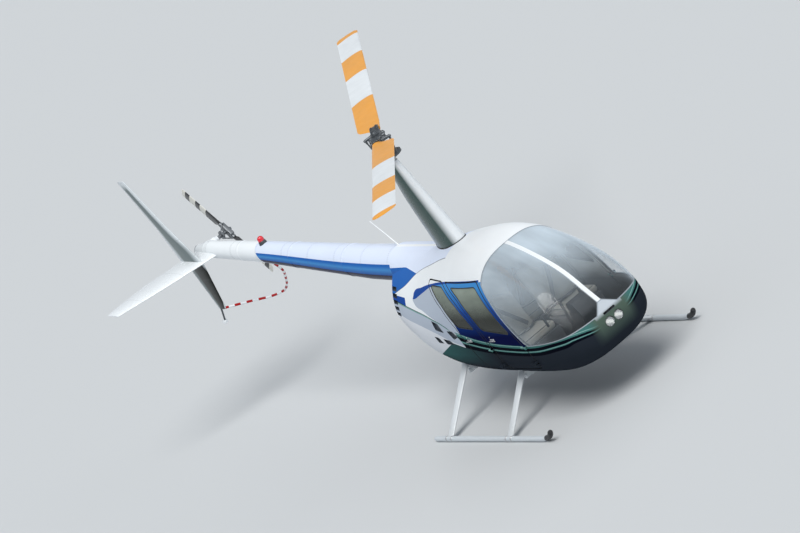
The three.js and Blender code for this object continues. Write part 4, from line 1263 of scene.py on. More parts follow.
def skin_y(x, z):
    """Half width of the pod at a side-view place."""
    s = np.linspace(0, len(HULL) - 1, 1301)
    index = s[np.argmin(np.abs(spline(HULL[:, 0], s) - x))]
    angles = np.linspace(-math.pi / 2, math.pi / 2, 1801)
    ring = hull_point(np.full_like(angles, index), angles)
    return float(np.interp(z, ring[:, 2], ring[:, 1]))


def build_handle(name, side, sign, body):
    x, z = HANDLES[name]
    skin = skin_y(x, z)
    plate = rounded_block((x - 0.042, x + 0.042), side_span(sign, skin - 0.006, skin + 0.004),
                          (z - 0.018, z + 0.018), 0.003)
    pivot = rod((x + 0.026, sign * skin, z), (x + 0.026, sign * (skin + 0.020), z), 0.009, soft=0.002)
    lever = tube(((x + 0.026, sign * (skin + 0.018), z), (x, sign * (skin + 0.019), z),
                  (x - 0.050, sign * (skin + 0.015), z - 0.003)), 0.006, 12, 14)
    lock = rod((x - 0.025, sign * skin, z + 0.040), (x - 0.025, sign * (skin + 0.004), z + 0.040), 0.008,
               soft=0.0015)
    piece(f"{name}_door_{side}_handle", merged([plate, pivot, lever, lock]), "steel", body)


def build_lamps():
    for side, sign in SIDES:
        y = sign * LAMP_Y
        case = loft([upright_circle(x, y, LAMP_Z, radius, 40) for x, radius in LAMP_CASE])
        inner = []
        for face in case.polygons:
            reach = math.hypot(face.center.y - y, face.center.z - LAMP_Z)
            inner.append(1 if reach < LAMP_INSIDE[1] and face.center.x > LAMP_INSIDE[0] else 0)
        piece(f"landing_lamp_{side}_case", marked(case, inner), "hub reflector", "fuselage",
              [f"landing_lamp_{side}"], sharp=50)
        lens = turned((2.521, y, LAMP_Z), (2.541, y, LAMP_Z),
                      ((0, 0.0498), (0.35, 0.0498), (0.62, 0.042), (0.88, 0.024), (1.0, 0.002)), 40)
        piece(f"landing_lamp_{side}_lens", lens, "lens", "fuselage")
        glow = dome((2.453, y, LAMP_Z), (1, 0, 0), 0.011, 0.034, 20)
        piece(f"landing_lamp_{side}_bulb", glow, "bulb", "fuselage")


def build_engine():
    for node, key in (("firewall", "sheet"), ("engine_block", "engine"), ("rear_grille", "recess")):
        finish_node(node, key)
    pipe = tube([(*EXHAUST, z) for z in (0.739, 0.66, 0.561)], 0.038, 10, 32)
    bore = rod((*EXHAUST, 0.5), (*EXHAUST, 0.72), 0.035, sides=32)
    piece("exhaust_tail_pipe", carve(pipe, bore), "exhaust", "fuselage",
          ["exhaust_pipe"])
    slats = []
    for z in (0.90 + 0.048 * k for k in range(9)):
        half = 0.33 if z > 0.98 else 0.24
        slats.append(block((-1.082, -1.063), (-half, half), (z, z + 0.014)))
    piece("rear_grille_slats", merged(slats), "rubber", "fuselage")


def fairing_form(grow):
    """Mast fairing, swollen by an amount."""
    table = np.array(FAIRING)
    rings = []
    for height in np.linspace(FAIRING[0][0], FAIRING[-1][0], 40):
        front, rear, half = (np.interp(height, table[:, 0], table[:, c]) for c in (1, 2, 3))
        rings.append([(x, y, height) for x, y in teardrop(front + grow, rear - grow, half + grow)])
    return loft(rings)


def build_fairing():
    body = carve(fairing_form(0), pod_form(-CLEAR, CLEAR))
    for low, high, radius in ((2.77, 2.90, 0.045), (2.70, 2.79, 0.0352)):
        body = carve(body, rod((0, 0, low), (0, 0, high), radius, sides=32))
    piece("mast_fairing_skin", body, "fairing", "fuselage", ["mast_fairing"])
    band = carve(carve(fairing_form(0.007), pod_form(-0.008), "INTERSECT"), pod_form(0.001))
    piece("mast_fairing_base_seal", band, "rubber", "fuselage")
    collar = turned((0, 0, 2.866), (0, 0, 2.884), ((0, 0.052), (0.7, 0.052), (1, 0.047)), 32)
    collar = carve(collar, rod((0, 0, 2.8), (0, 0, 2.95), 0.0405, sides=32))
    piece("mast_top_collar", collar, "steel", "fuselage")


def turn(degrees, axis):
    return Matrix.Rotation(math.radians(degrees), 4, axis)


def bolt(centre, direction, radius, height):
    """Hexagon head on a washer."""
    axis = Vector(direction).normalized()
    start = Vector(centre)
    head = turned(start, start + axis * height, ((0, radius), (0.75, radius), (1, radius * 0.8)), 6)
    washer = turned(start, start + axis * height * 0.25, ((0, radius * 1.35), (1, radius * 1.3)), 20)
    return merged([head, washer])


def teeter_point(x, y, z):
    return turn(ROTOR_TEETER, "Y") @ Vector((x, y, z)) + Vector((0, 0, MAST_HUB_Z))


def mast_parts():
    """Mast, swash plate and hub nut, which don't rock with the blades."""
    parts = [
        rod((0, 0, 2.713), (0, 0, MAST_HUB_Z + 0.040), 0.0335, sides=40),
        turned((0, 0, 2.915), (0, 0, 2.950), ((0, 0.138), (0.15, 0.149), (0.85, 0.149), (1, 0.138)), 48),
        turned((0, 0, 2.945), (0, 0, 2.990), ((0, 0.080), (0.4, 0.075), (0.8, 0.070), (1, 0.050)), 40),
        turned((0, 0, MAST_HUB_Z + 0.025), (0, 0, MAST_HUB_Z + 0.105),
               ((0, 0.048), (0.35, 0.048), (0.40, 0.040), (0.72, 0.034), (0.76, 0.031), (1, 0.029)), 32),
    ]
    for k in range(8):
        a = k * math.pi / 4 + 0.2
        parts.append(bolt((0.125 * math.cos(a), 0.125 * math.sin(a), 2.948), (0, 0, 1), 0.008, 0.008))
    for k in (1, -1):
        elbow = (k * 0.105, -k * 0.02, 3.04)
        parts += [rod((k * 0.055, -k * 0.055, 2.985), elbow, 0.009),
                  rod(elbow, (k * 0.034, 0, 3.085), 0.009)]
    return parts


def hub_parts():
    """Teetering hub block with its two coning pins."""
    parts = [
        rounded_block((-0.190, 0.190), (-0.062, 0.062), (-0.045, 0.045), 0.012),
        rod((0, -0.095, 0), (0, 0.095, 0), 0.030, sides=28, soft=0.004),
    ]
    for x in (-0.150, 0.150):
        for side in (-1, 1):
            y = side * 0.064
            parts += [rod((x, y - 0.022, 0), (x, y + 0.022, 0), 0.024, soft=0.003),
                      bolt((x, y + side * 0.022, 0), (0, side, 0), 0.013, 0.010)]
    return parts


def grip_form():
    """Blade grip with its fork and bolts, along x."""
    parts = [turned((0, 0, 0), (HUB_HALF, 0, 0), (
        (0, 0.040), (0.40, 0.040), (0.42, 0.047), (0.50, 0.047), (0.53, 0.043), (0.62, 0.043),
        (0.66, 0.050), (0.72, 0.050), (0.76, 0.044), (0.96, 0.044), (1.0, 0.040)), 36)]
    parts += [rounded_block((0.285, HUB_HALF), (-0.052, 0.052), (z, z + 0.012), 0.004)
              for z in (-0.042, 0.030)]
    for side, height in ((1, 0.011), (-1, 0.010)):
        parts += [bolt((x, y, side * 0.042), (0, 0, side), 0.011, height)
                  for x in (0.315, 0.370) for y in (-0.030, 0.030)]
    return merged(parts)


def pitch_links():
    """Pitch horns and the links that reach them from the swash plate."""
    parts = []
    for k in (1, -1):
        horn = teeter_point(k * 0.235, k * 0.140, 0.004)
        root = teeter_point(k * 0.250, 0, 0.012)
        foot = Vector((k * 0.100, k * 0.100, 2.932))
        parts += [
            turned(root, horn, ((0, 0.026), (0.4, 0.020), (0.9, 0.017), (1, 0.017)), 20),
            turned(foot, horn, ((0, 0.011), (0.12, 0.011), (0.14, 0.008), (0.84, 0.008),
                                (0.86, 0.012), (1, 0.012)), 16),
            bolt(horn, (0, k, 0), 0.014, 0.018),
            dome(foot - Vector((0, 0, 0.004)), (0, 0, 1), 0.019, 0.022, 20),
        ]
    return parts


def build_main_rotor():
    spin = turn(ROTOR_AZIMUTH, "Z")
    teeter = spin @ Matrix.Translation((0, 0, MAST_HUB_Z)) @ turn(ROTOR_TEETER, "Y")
    cones = [turn(180 * i, "Z") @ turn(-ROTOR_CONE, "Y") for i in range(2)]
    grip = grip_form()
    hub = [moved(part, spin) for part in mast_parts() + pitch_links()]
    hub += [moved(part, teeter) for part in hub_parts() + [moved(grip, cone) for cone in cones]]
    piece("main_rotor_head", merged(hub), "hub", "main_rotor", ["main_rotor_hub"], sharp=38)
    blade = loft([[(r, -x, y) for x, y in teardrop(lead, lead - chord, thick / 2, 26)]
                  for r, chord, thick, lead in BLADE])
    for number, cone in enumerate(cones, 1):
        piece(f"main_blade_{number}_skin", moved(blade, teeter @ cone), "blade", "main_rotor",
              [f"main_blade_{number}"], sharp=40)


def boom_at(x):
    """Centre height and radius of the boom."""
    table = np.array(BOOM[::-1])
    return float(np.interp(x, table[:, 0], table[:, 1])), float(np.interp(x, table[:, 0], table[:, 2]))


def dense_boom():
    """Boom stations close together, for seams and bands to follow."""
    return [(x, *boom_at(x)) for x in np.linspace(BOOM[0][0], BOOM[-1][0], 60)]


def build_boom():
    outer = round_form(dense_boom(), 0, sides=BOOM_SIDES)
    inner = round_form(BOOM, -size("boom_wall"), ahead=0.060, sides=BOOM_SIDES)
    inner = carve(inner, block((-5.5, 0), (-0.4, 0.4), (0, 3)), "INTERSECT")
    piece("tail_boom_skin", carve(outer, inner), "boom", "fuselage", ["tail_boom"],
          sharp=20)
    bands = []
    for x in BOOM_BANDS:
        z, r = boom_at(x)
        profile = ((0, r + 0.0002), (0.08, r + 0.0018), (0.92, r + 0.0018), (1, r + 0.0002))
        bands.append(turned((x + 0.022, 0, z), (x - 0.022, 0, z), profile, BOOM_SIDES))
    piece("tail_boom_bands", merged(bands), "boom", "fuselage")
    case = [
        turned((-5.6403, 0, 1.892), (-5.964, 0, 1.8793), (
            (0, 0.094), (0.70, 0.078), (0.88, 0.073), (0.90, 0.070), (0.96, 0.060), (1.0, 0.036)), 48),
        turned((-5.89, 0, 1.868), (-5.89, 0.240, 1.868), (
            (0, 0.050), (0.50, 0.048), (0.60, 0.046), (0.85, 0.046), (0.90, 0.038), (1.0, 0.036)), 36),
        turned((-5.6403, 0, 1.892), (-5.664, 0, 1.891), ((0, 0.099), (0.8, 0.099), (1.0, 0.096)), 48),
    ]
    case += [bolt(place, (-1, 0, 0), 0.006, 0.006)
             for place in upright_circle(-5.662, 0, 1.891, 0.090, 10)]
    piece("tail_gearbox_case", merged(case), "gearbox", "fuselage", ["tail_gearbox"])


def build_tail_rotor():
    matrix = Matrix.Translation((TAIL_AXIS[0], TAIL_DISC_Y, TAIL_AXIS[2])) @ turn(-TAIL_TILT, "Y")
    parts = [
        rod((0, 0.2185 - TAIL_DISC_Y, 0), (0, 0.040, 0), 0.0215, sides=32),
        rounded_block((-0.050, 0.050), (-0.026, 0.026), (-0.090, 0.090), 0.008),
        turned((0, 0, -0.120), (0, 0, 0.120), ((0, 0.024), (0.2, 0.027), (0.8, 0.027), (1, 0.024)), 28),
        turned((0, -0.097, 0), (0, -0.073, 0), ((0, 0.046), (0.2, 0.052), (0.8, 0.052), (1, 0.046)), 36),
        turned((0, 0.036, 0), (0, 0.056, 0), ((0, 0.020), (0.5, 0.019), (1, 0.012)), 24),
    ]
    for k in (1, -1):
        knee = (k * 0.060, -0.008, k * 0.080)
        parts += [rod(knee, (k * 0.045, -0.085, k * 0.020), 0.007, sides=16),
                  rod((0, -0.008, k * 0.080), knee, 0.010, sides=16),
                  dome(knee, (0, 1, 0), 0.012, 0.012, 16)]
        parts += [bolt((0.004, 0.012, k * z), (0, 1, 0), 0.007, 0.007) for z in (0.135, 0.165)]
    piece("tail_rotor_head", moved(merged(parts), matrix), "tail_hub", "tail_rotor",
          ["tail_rotor_hub"], sharp=38)
    blade = loft([[(x, y, r) for x, y in teardrop(lead, lead - chord, thick / 2, 22)]
                  for r, chord, thick, lead in TAIL_BLADE])
    for number in (1, 2):
        placed = moved(blade, matrix @ turn(180 * (number - 1), "Y"))
        piece(f"tail_blade_{number}_skin", placed, "tail_blade", "tail_rotor",
              [f"tail_blade_{number}"], sharp=40)


def stabilizer_form(grow=0.0):
    """Tail plane, which leans up towards its rear edge."""
    rings = []
    for y, front, front_z, rear, rear_z, thick in STABILIZER:
        shape = teardrop(front + grow, rear - grow, thick / 2 + grow)
        rings.append([(x, y, front_z + (rear_z - front_z) * (x - front) / (rear - front) + t)
                      for x, t in shape])
    return loft(rings)


def largest(mesh):
    """Drops loose crumbs that a cut leaves, keeping the biggest island."""
    work = bmesh.new()
    work.from_mesh(mesh)
    work.verts.ensure_lookup_table()
    seen, best = set(), []
    for vert in work.verts:
        if vert.index in seen:
            continue
        island, todo = [], [vert]
        seen.add(vert.index)
        while todo:
            here = todo.pop()
            island.append(here)
            for edge in here.link_edges:
                other = edge.other_vert(here)
                if other.index not in seen:
                    seen.add(other.index)
                    todo.append(other)
        if len(island) > len(best):
            best = island
    keep = {v.index for v in best}
    bmesh.ops.delete(work, geom=[v for v in work.verts if v.index not in keep], context="VERTS")
    return mesh_from(work)


def build_tail_surfaces():
    boom = round_form(dense_boom(), CLEAR, behind=0.06)
    gearbox = turned((-5.64, 0, 1.892), (-5.93, 0, 1.88), ((0, 0.0943), (1, 0.0723)), 48)
    plane = carve(carve(stabilizer_form(), boom), gearbox)
    piece("stabilizer_skin", plane, "stabilizer", "fuselage", ["horizontal_stabilizer"],
          sharp=40)
    for name, table, slot in (("upper_fin", UPPER_FIN, "surface_grey"),
                              ("lower_fin", LOWER_FIN, "surface_white")):
        fin = loft([[(x, FIN_Y + t, z) for x, t in teardrop(front, rear, thick / 2)]
                    for z, front, rear, thick in table])
        fin = largest(carve(fin, stabilizer_form(CLEAR)))
        piece(f"{name}_skin", fin, "fin", "fuselage", [name], sharp=40)
    build_guard()
    build_beacon()
    build_aerial()


def build_guard():
    steps, sides = 132, 18
    guard = tube(GUARD_LINE, 0.014, steps, sides)
    _, length = smooth_line(GUARD_LINE, steps)
    both = size("guard_bands")
    marks = []
    for number in range(len(guard.polygons)):
        along = (number // sides + 0.5) / steps * length if number < steps * sides else 0
        marks.append(1 if along % both > both * GUARD_WHITE else 0)
    guard = carve(marked(guard, marks), marked(round_form(BOOM, CLEAR), 0))
    piece("tail_guard_tube", guard, "white red", "fuselage", ["tail_guard"])
    skid = rod((-5.7542, FIN_Y, 1.2763), (-5.880, FIN_Y, 1.080), 0.0105, sides=20)
    foot = turned((-5.874, FIN_Y, 1.094), (-5.904, FIN_Y, 1.048), (
        (0, 0.010), (0.12, 0.022), (0.35, 0.030), (0.60, 0.031), (0.85, 0.022), (1.0, 0.004)), 32)
    piece("tail_skid_rod", skid, "hub", "fuselage", ["tail_skid"])
    piece("tail_skid_lamp", foot, "white", "fuselage")


def build_beacon():
    z, r = boom_at(BEACON_X)
    foot = turned((BEACON_X, 0, z + r - 0.006), (BEACON_X, 0, 1.968),
                  ((0, 0.048), (0.25, 0.046), (0.8, 0.041), (1, 0.037)), 32)
    cap = turned((BEACON_X, 0, 1.966), (BEACON_X, 0, 2.024), (
        (0, 0.037), (0.1, 0.0385), (0.45, 0.0375), (0.7, 0.033), (0.88, 0.023), (1, 0.004)), 36)
    piece("beacon_lens", cap, "red_lens", "fuselage", ["beacon"])
    piece("beacon_foot", foot, "hub", "fuselage")


def build_aerial():
    """Whip aerial on the cowl, and its short socket on the roof."""
    whip = [
        turned((AERIAL_X, 0, 1.780), (AERIAL_X, 0, 1.803), ((0, 0.030), (0.3, 0.027), (1, 0.019)), 28),
        tube(((AERIAL_X, 0, 1.796), (-1.215, 0.010, 1.913), (-1.350, 0.020, 2.022),
              (-1.470, 0.030, 2.115)), 0.006, 24, 14, ((0, 0.12, 1), (0.0095, 0.0078, 0.0042))),
        turned((-0.271, 0, 1.752), (-0.271, 0, 1.800),
               ((0, 0.032), (0.6, 0.030), (0.85, 0.022), (1, 0.012)), 28),
    ]
    piece("whip_aerial_rod", merged(whip), "white", "fuselage", ["whip_aerial"])


def strut_form(root, foot):
    """Streamlined leg, tapered along its length."""
    forward = Vector((1, 0, 0))
    across = (foot - root).normalized().cross(forward).normalized()
    angles = np.linspace(0, 2 * math.pi, 36, endpoint=False)
    rings = []
    for share, chord, thick in STRUT:
        centre = root.lerp(foot, share)
        rings.append([centre + forward * (chord * math.cos(a)) + across * (thick * math.sin(a))
                      for a in angles])
    return loft(rings)


def build_gear():
    under = pod_form(-CLEAR)
    for name, (root_x, root_y, root_z, tube_z, skid_x) in ARCHES.items():
        parts = [rod((root_x, -root_y, tube_z), (root_x, root_y, tube_z), 0.026, sides=32, soft=0.004)]
        saddle = rounded(((0.310, tube_z - 0.022), (root_y - 0.070, tube_z - 0.022),
                          (root_y + 0.010, root_z - 0.024), (root_y + 0.014, 0.700),
                          (0.310, 0.700)), 0.012)
        for _, sign in SIDES:
            parts += [strut_form(Vector((root_x, sign * root_y, root_z)),
                                 Vector((skid_x, sign * SKID_Y, SKID_RADIUS + 0.004))),
                      prism_x([(sign * y, z) for y, z in saddle], root_x - 0.044, root_x + 0.044)]
        arch = carve(united(parts), under)
        for _, sign in SIDES:
            arch = carve(arch, rod((-0.9, sign * SKID_Y, SKID_RADIUS), (2.2, sign * SKID_Y, SKID_RADIUS),
                                   SKID_RADIUS + CLEAR, sides=48))
        piece(f"{name}_arch_skin", arch, "gear", "fuselage", [f"{name}_gear_arch"])
        clamps = [turned((x - 0.011, sign * SKID_Y, SKID_RADIUS), (x + 0.011, sign * SKID_Y, SKID_RADIUS),
                         ((0, 0.0300), (0.1, 0.0325), (0.9, 0.0325), (1, 0.0300)), 40)
                  for _, sign in SIDES for x in (skid_x - 0.055, skid_x + 0.055)]
        above_ground = carve(merged(clamps), block((-3, 3), (-3, 3), (0.0, 1.0)), "INTERSECT")
        piece(f"{name}_skid_clamps", above_ground, "steel", "fuselage")
    for side, sign in SIDES:
        y = sign * SKID_Y
        piece(f"skid_{side}_rail", skid_rail(y), "skid", "fuselage", [f"skid_{side}"])
        shoes = [block(xs, (y - 0.016, y + 0.016), (0.0, 0.0045))
                 for xs in ((-0.52, -0.18), (0.78, 1.30))]
        piece(f"skid_{side}_wear_shoes", merged(shoes), "steel", "fuselage")


def skid_rail(y, sides=32, steps=28):
    """Skid tube, eased at its rear end and curved up in front."""
    rings = [upright_circle(x, y, SKID_RADIUS, radius, sides) for x, radius in SKID_STRAIGHT]
    curve, _ = smooth_line([(x, y, SKID_RADIUS + rise) for x, rise in SKID_CURVE], steps)
    front = {steps - 1: 0.0275, steps: 0.022}
    for i, centre in enumerate(curve[1:], 1):
        axis = heading(curve, i)
        up = Vector((-axis.z, 0, axis.x))
        rings.append(circle(centre, Vector((0, 1, 0)), up, front.get(i, 0.0295), sides))
    return loft(rings)


# Cabin.

def cushion_form(xs, ys, zs, channels, radius=0.045):
    """Crowned, closed cushion with pulled-in sides and sewn channels on its top."""
    crown, pinch, groove, cells = 0.018, 0.012, 0.010, 22
    centre = np.array([(a + b) / 2 for a, b in (xs, ys, zs)])
    half = np.array([(b - a) / 2 for a, b in (xs, ys, zs)])
    work = bmesh.new()
    bmesh.ops.create_cube(work, size=2)
    bmesh.ops.subdivide_edges(work, edges=work.edges[:], cuts=cells, use_grid_fill=True)
    verts = np.array([v.co for v in work.verts])
    core = half - radius
    spread = verts * half
    inner = np.clip(spread, -core, core)
    out = spread - inner
    length = np.linalg.norm(out, axis=1, keepdims=True)
    placed = inner + np.where(length > 1e-9, out / np.maximum(length, 1e-9) * radius, 0)
    u, v, w = placed[:, 0] / half[0], placed[:, 1] / half[1], placed[:, 2] / half[2]
    edge_pull = pinch * (1 - w * w)
    placed[:, 0] -= np.sign(u) * edge_pull * np.abs(u) ** 3 * (1 - v * v)
    placed[:, 1] -= np.sign(v) * edge_pull * np.abs(v) ** 3 * (1 - u * u)
    rise = np.clip((w - 0.1) / 0.9, 0, 1)
    swell = (1 - np.abs(u) ** 2.4) * (1 - np.abs(v) ** 2.4)
    placed[:, 2] -= rise * crown * (1 - swell)
    for channel in channels:
        placed[:, 2] -= rise * groove * np.exp(-((v - channel) * half[1] / groove) ** 2)
    for vert, place in zip(work.verts, placed + centre):
        vert.co = place
    return mesh_from(work)


def piping_form(xs, ys, z, radius=0.005, inset=0.020):
    """Cord around the top edge of a cushion."""
    corner = rounded(((xs[0] + inset, ys[0] + inset), (xs[1] - inset, ys[0] + inset),
                      (xs[1] - inset, ys[1] - inset), (xs[0] + inset, ys[1] - inset)), 0.05, 6)
    rings = []
    for i, (x, y) in enumerate(corner):
        axis = (Vector(corner[(i + 1) % len(corner)]) - Vector(corner[i - 1])).normalized()
        out = Vector((axis.y, -axis.x, 0))
        rings.append(circle(Vector((x, y, z)), out, Vector((0, 0, 1)), radius, 10))
    return loft(rings, looped=True)


def build_seats():
    finish_node("seat_boxes", "moulded")
    for name, x, depth, y0, y1, rake, channels in SEATS:
        pad = cushion_form((x + 0.002, x + depth), (y0, y1), (0.7605, 0.865), channels)
        seat = piece(f"{name}_cushion_pad", pad, "cloth", "fuselage", [f"{name}_cushion"],
                     sharp=70)
        back = cushion_form((-0.279, 0.279), (y0 + 0.006, y1 - 0.006), (-0.046, 0.040), channels, 0.036)
        stand = Matrix.Translation((x - 0.050 - 0.56 * rake / 2, 0, 0.765 + 0.280)) \
            @ Matrix.Rotation(math.pi / 2 - math.atan(rake), 4, "Y")
        rest = piece(f"{name}_back_pad", moved(back, stand), "cloth", "fuselage",
                     [f"{name}_back"], sharp=70)
        trim = piping_form((x + 0.002, x + depth), (y0, y1), 0.842)
        piece(f"{name}_piping", trim, "piping", "fuselage")
        build_belts(name, x, y0, y1, rake)


def strap(points, width_axis, thick=0.0022):
    """Flat webbing along a smooth curve."""
    line, _ = smooth_line(points, 24)
    width = size("belt_width")
    wide = Vector(width_axis).normalized()
    rings = []
    for i, centre in enumerate(line):
        axis = heading(line, i)
        side = (wide - axis * wide.dot(axis)).normalized()
        up = axis.cross(side)
        rings.append([centre + side * (a * width / 2) + up * (b * thick / 2)
                      for a, b in ((-1, -1), (1, -1), (1, 1), (-1, 1))])
    return loft(rings)


def build_belts(name, x, y0, y1, rake):
    """Lap and shoulder belt with a buckle for each place on a seat."""
    places = [(y0, y1)] if name.startswith("front") else [(y0, 0.0), (0.0, y1)]
    straps, buckles = [], []
    for low, high in places:
        middle = (low + high) / 2
        out = 1 if middle > 0 else -1
        straps.append(strap(((x + 0.05, low + 0.03, 0.874), (x + 0.16, middle - 0.10, 0.878),
                             (x + 0.20, middle, 0.880), (x + 0.16, middle + 0.10, 0.878),
                             (x + 0.05, high - 0.03, 0.874)), (1, 0, 0.05)))
        top = Vector((x + 0.008 - 0.53 * rake, middle + out * 0.13, 1.300))
        bottom = Vector((x + 0.055, middle - out * 0.12, 0.885))
        centre = top.lerp(bottom, 0.5) + Vector((0.022, 0, 0))
        straps.append(strap((top, centre, bottom), (0, 1, 0.3)))
        buckles.append(rounded_block((x + 0.18, x + 0.23), (middle - 0.030, middle + 0.030),
                                     (0.878, 0.892), 0.004))
    piece(f"{name}_belts", merged(straps), "webbing", "fuselage")
    piece(f"{name}_buckles", merged(buckles), "steel", "fuselage")


def build_pedestal():
    """Instrument pedestal with two rows of three dials on its sloping face."""
    outline = ((1.700, 0.440), (2.050, 0.440), (2.180, 0.900), (2.100, 1.060), (1.990, 1.075),
               (1.930, 0.900), (1.800, 0.760), (1.700, 0.700))
    body = carve(prism_y(rounded(outline, 0.030), -0.130, 0.130), cabin_space(), "INTERSECT")
    piece("instrument_pedestal", body, "console", "fuselage", ["instrument_console"])
    low, high = Vector((1.930, 0, 0.900)), Vector((1.990, 0, 1.075))
    up = (high - low).normalized()
    out = Vector((-up.z, 0, up.x))

    def ray(angle):
        return Vector((0, math.cos(angle), 0)) + up * math.sin(angle)

    bezels, faces, marks = [], [], []
    for row in (0.25, 0.72):
        for y in (-0.078, 0.0, 0.078):
            centre = low.lerp(high, row) + Vector((0, y, 0))
            bezels.append(turned(centre - out * 0.003, centre + out * 0.007,
                                 ((0, 0.036), (0.5, 0.036), (0.9, 0.034), (1.0, 0.031)), 32))
            faces.append(rod(centre + out * 0.0065, centre + out * 0.0082, 0.0300, sides=32))
            ground, top = centre + out * 0.0085, centre + out * 0.0090
            for k in range(12):
                aim = ray(k * math.pi / 6)
                marks.append(rod(ground + aim * 0.022, ground + aim * 0.028, 0.0009, sides=6))
            marks.append(rod(top, top + ray(0.6 + 9 * y + 5 * row) * 0.022, 0.0012, sides=6))
    piece("instrument_bezels", merged(bezels), "moulded", "fuselage")
    piece("instrument_faces", merged(faces), "dial", "fuselage")
    piece("instrument_marks", merged(marks), "marks", "fuselage")


def build_cyclic():
    """Control column with its cross bar, boot and two hanging grips."""
    parts = [
        tube(((1.560, 0, 0.500), (1.572, 0, 0.65), (1.588, 0, 0.85), (1.600, 0, 1.010)), 0.016, 20, 24),
        rod((1.600, -0.262, 1.010), (1.600, 0.262, 1.010), 0.012, sides=24, soft=0.003),
        rod((1.600, -0.035, 1.010), (1.600, 0.035, 1.010), 0.022, sides=24, soft=0.004),
    ]
    boot = turned((1.556, 0, 0.436), (1.566, 0, 0.560), (
        (0, 0.060), (0.35, 0.060), (0.45, 0.048), (0.55, 0.050), (0.65, 0.036), (0.75, 0.038),
        (0.9, 0.022), (1, 0.020)), 32)
    parts.append(carve(boot, cabin_space(), "INTERSECT"))
    for _, sign in SIDES:
        y = sign * 0.255
        parts.append(turned((1.600, y, 1.028), (1.600, y, 0.872), (
            (0, 0.010), (0.06, 0.015), (0.3, 0.0135), (0.5, 0.015), (0.75, 0.0135), (0.92, 0.015),
            (1, 0.010)), 24))
        parts.append(rod((1.588, y, 1.010), (1.578, y, 1.012), 0.005, sides=14))
    piece("cyclic_bar", merged(parts), "console", "fuselage", ["cyclic_column"])


def build_controls():
    build_pedestal()
    build_cyclic()
    pedals = []
    for place in (-0.30, 0.30):
        for gap in (-0.10, 0.10):
            y = place + gap
            pedals.append(rounded_block((2.075, 2.090), (y - 0.045, y + 0.045), (0.585, 0.700), 0.005))
            pedals.append(tube(((2.080, y, 0.640), (2.100, y, 0.560), (2.105, y, 0.510),
                                (2.060, y, 0.485)), 0.009, 14, 14))
    piece("foot_pedals", merged(pedals), "sheet", "fuselage")
    mat = carve(block((1.43, 2.15), (-0.52, 0.52), (0.430, 0.462)), cabin_space(), "INTERSECT")
    piece("floor_mat", mat, "carpet", "fuselage")
    levers = [tube(((1.020, y, 0.800), (1.180, y, 0.860), (1.330, y, 0.940), (1.420, y, 0.985)),
                   0.011, 18, 18) for y in (-0.055, 0.055)]
    piece("collective_levers", merged(levers), "console", "fuselage")


# Stage.

def placed_in_scene(name, data):
    thing = bpy.data.objects.new(name, data)
    bpy.context.scene.collection.objects.link(thing)
    return thing


def build_camera():
    """Camera fitted to the photograph, turned so that its axis passes through the picture's middle."""
    right, up, view = Vector(CAMERA_RIGHT), Vector(CAMERA_UP), Vector(CAMERA_VIEW)
    width, height = PICTURE
    pull = CAMERA_SCALE * CAMERA_DISTANCE
    across, down = width / 2 - CAMERA_CENTRE[0], CAMERA_CENTRE[1] - height / 2
    aim = (view + right * (across / pull) + up * (down / pull)).normalized()
    side = aim.cross(up).normalized()
    facing = Matrix((side, side.cross(aim), -aim)).transposed().to_4x4()
    data = bpy.data.cameras.new("camera")
    data.sensor_fit = "HORIZONTAL"
    data.sensor_width = SENSOR
    data.lens = pull * SENSOR / width
    data.clip_end = 2000
    camera = placed_in_scene("camera", data)
    camera.matrix_world = Matrix.Translation(MAST - view * CAMERA_DISTANCE) @ facing
    bpy.context.scene.camera = camera


def build_stage():
    span = 400.0
    mesh = bpy.data.meshes.new("floor")
    mesh.from_pydata([(-span, -span, 0), (span, -span, 0), (span, span, 0), (-span, span, 0)], [],
                     [(0, 1, 2, 3)])
    ground = Finish("floor_grey", roughness=0.9, base_color=(0.58, 0.60, 0.615))
    mesh.materials.append(ground.material)
    floor = placed_in_scene("floor", mesh)
    floor.location.z = -0.0005
    scene = bpy.context.scene
    world = bpy.data.worlds.new("studio")
    world.use_nodes = True
    sky = world.node_tree.nodes["Background"]
    sky.inputs["Color"].default_value = (0.80, 0.87, 0.95, 1)
    sky.inputs["Strength"].default_value = size("sky_light")
    scene.world = world
    for name, source, power, spread, tint in (
            ("key", (0.42, -0.26, 0.87), size("key_light"), 40, (1.0, 0.985, 0.96)),
            ("front", (0.75, 0.70, 0.42), size("front_light"), 50, (0.94, 0.97, 1.0))):
        data = bpy.data.lights.new(name, "SUN")
        data.angle = math.radians(spread)
        data.energy = power
        data.color = tint
        light = placed_in_scene(name, data)
        light.rotation_euler = (-Vector(source)).to_track_quat("-Z", "Y").to_euler()
    build_camera()
    scene.view_settings.view_transform = "Standard"
    scene.view_settings.look = "None"


# Add-on classes.

def color_setting(name, value, text):
    return bpy.props.FloatVectorProperty(
        name=name, description=text, default=value, size=3, min=0, max=1, subtype="COLOR")


def length_setting(name, value, text):
    return bpy.props.FloatProperty(
        name=name, description=text, default=value, min=0, soft_max=0.5, precision=4,
        subtype="DISTANCE", unit="LENGTH")


def light_setting(name, value, text):
    return bpy.props.FloatProperty(name=name, description=text, default=value, min=0, soft_max=20)


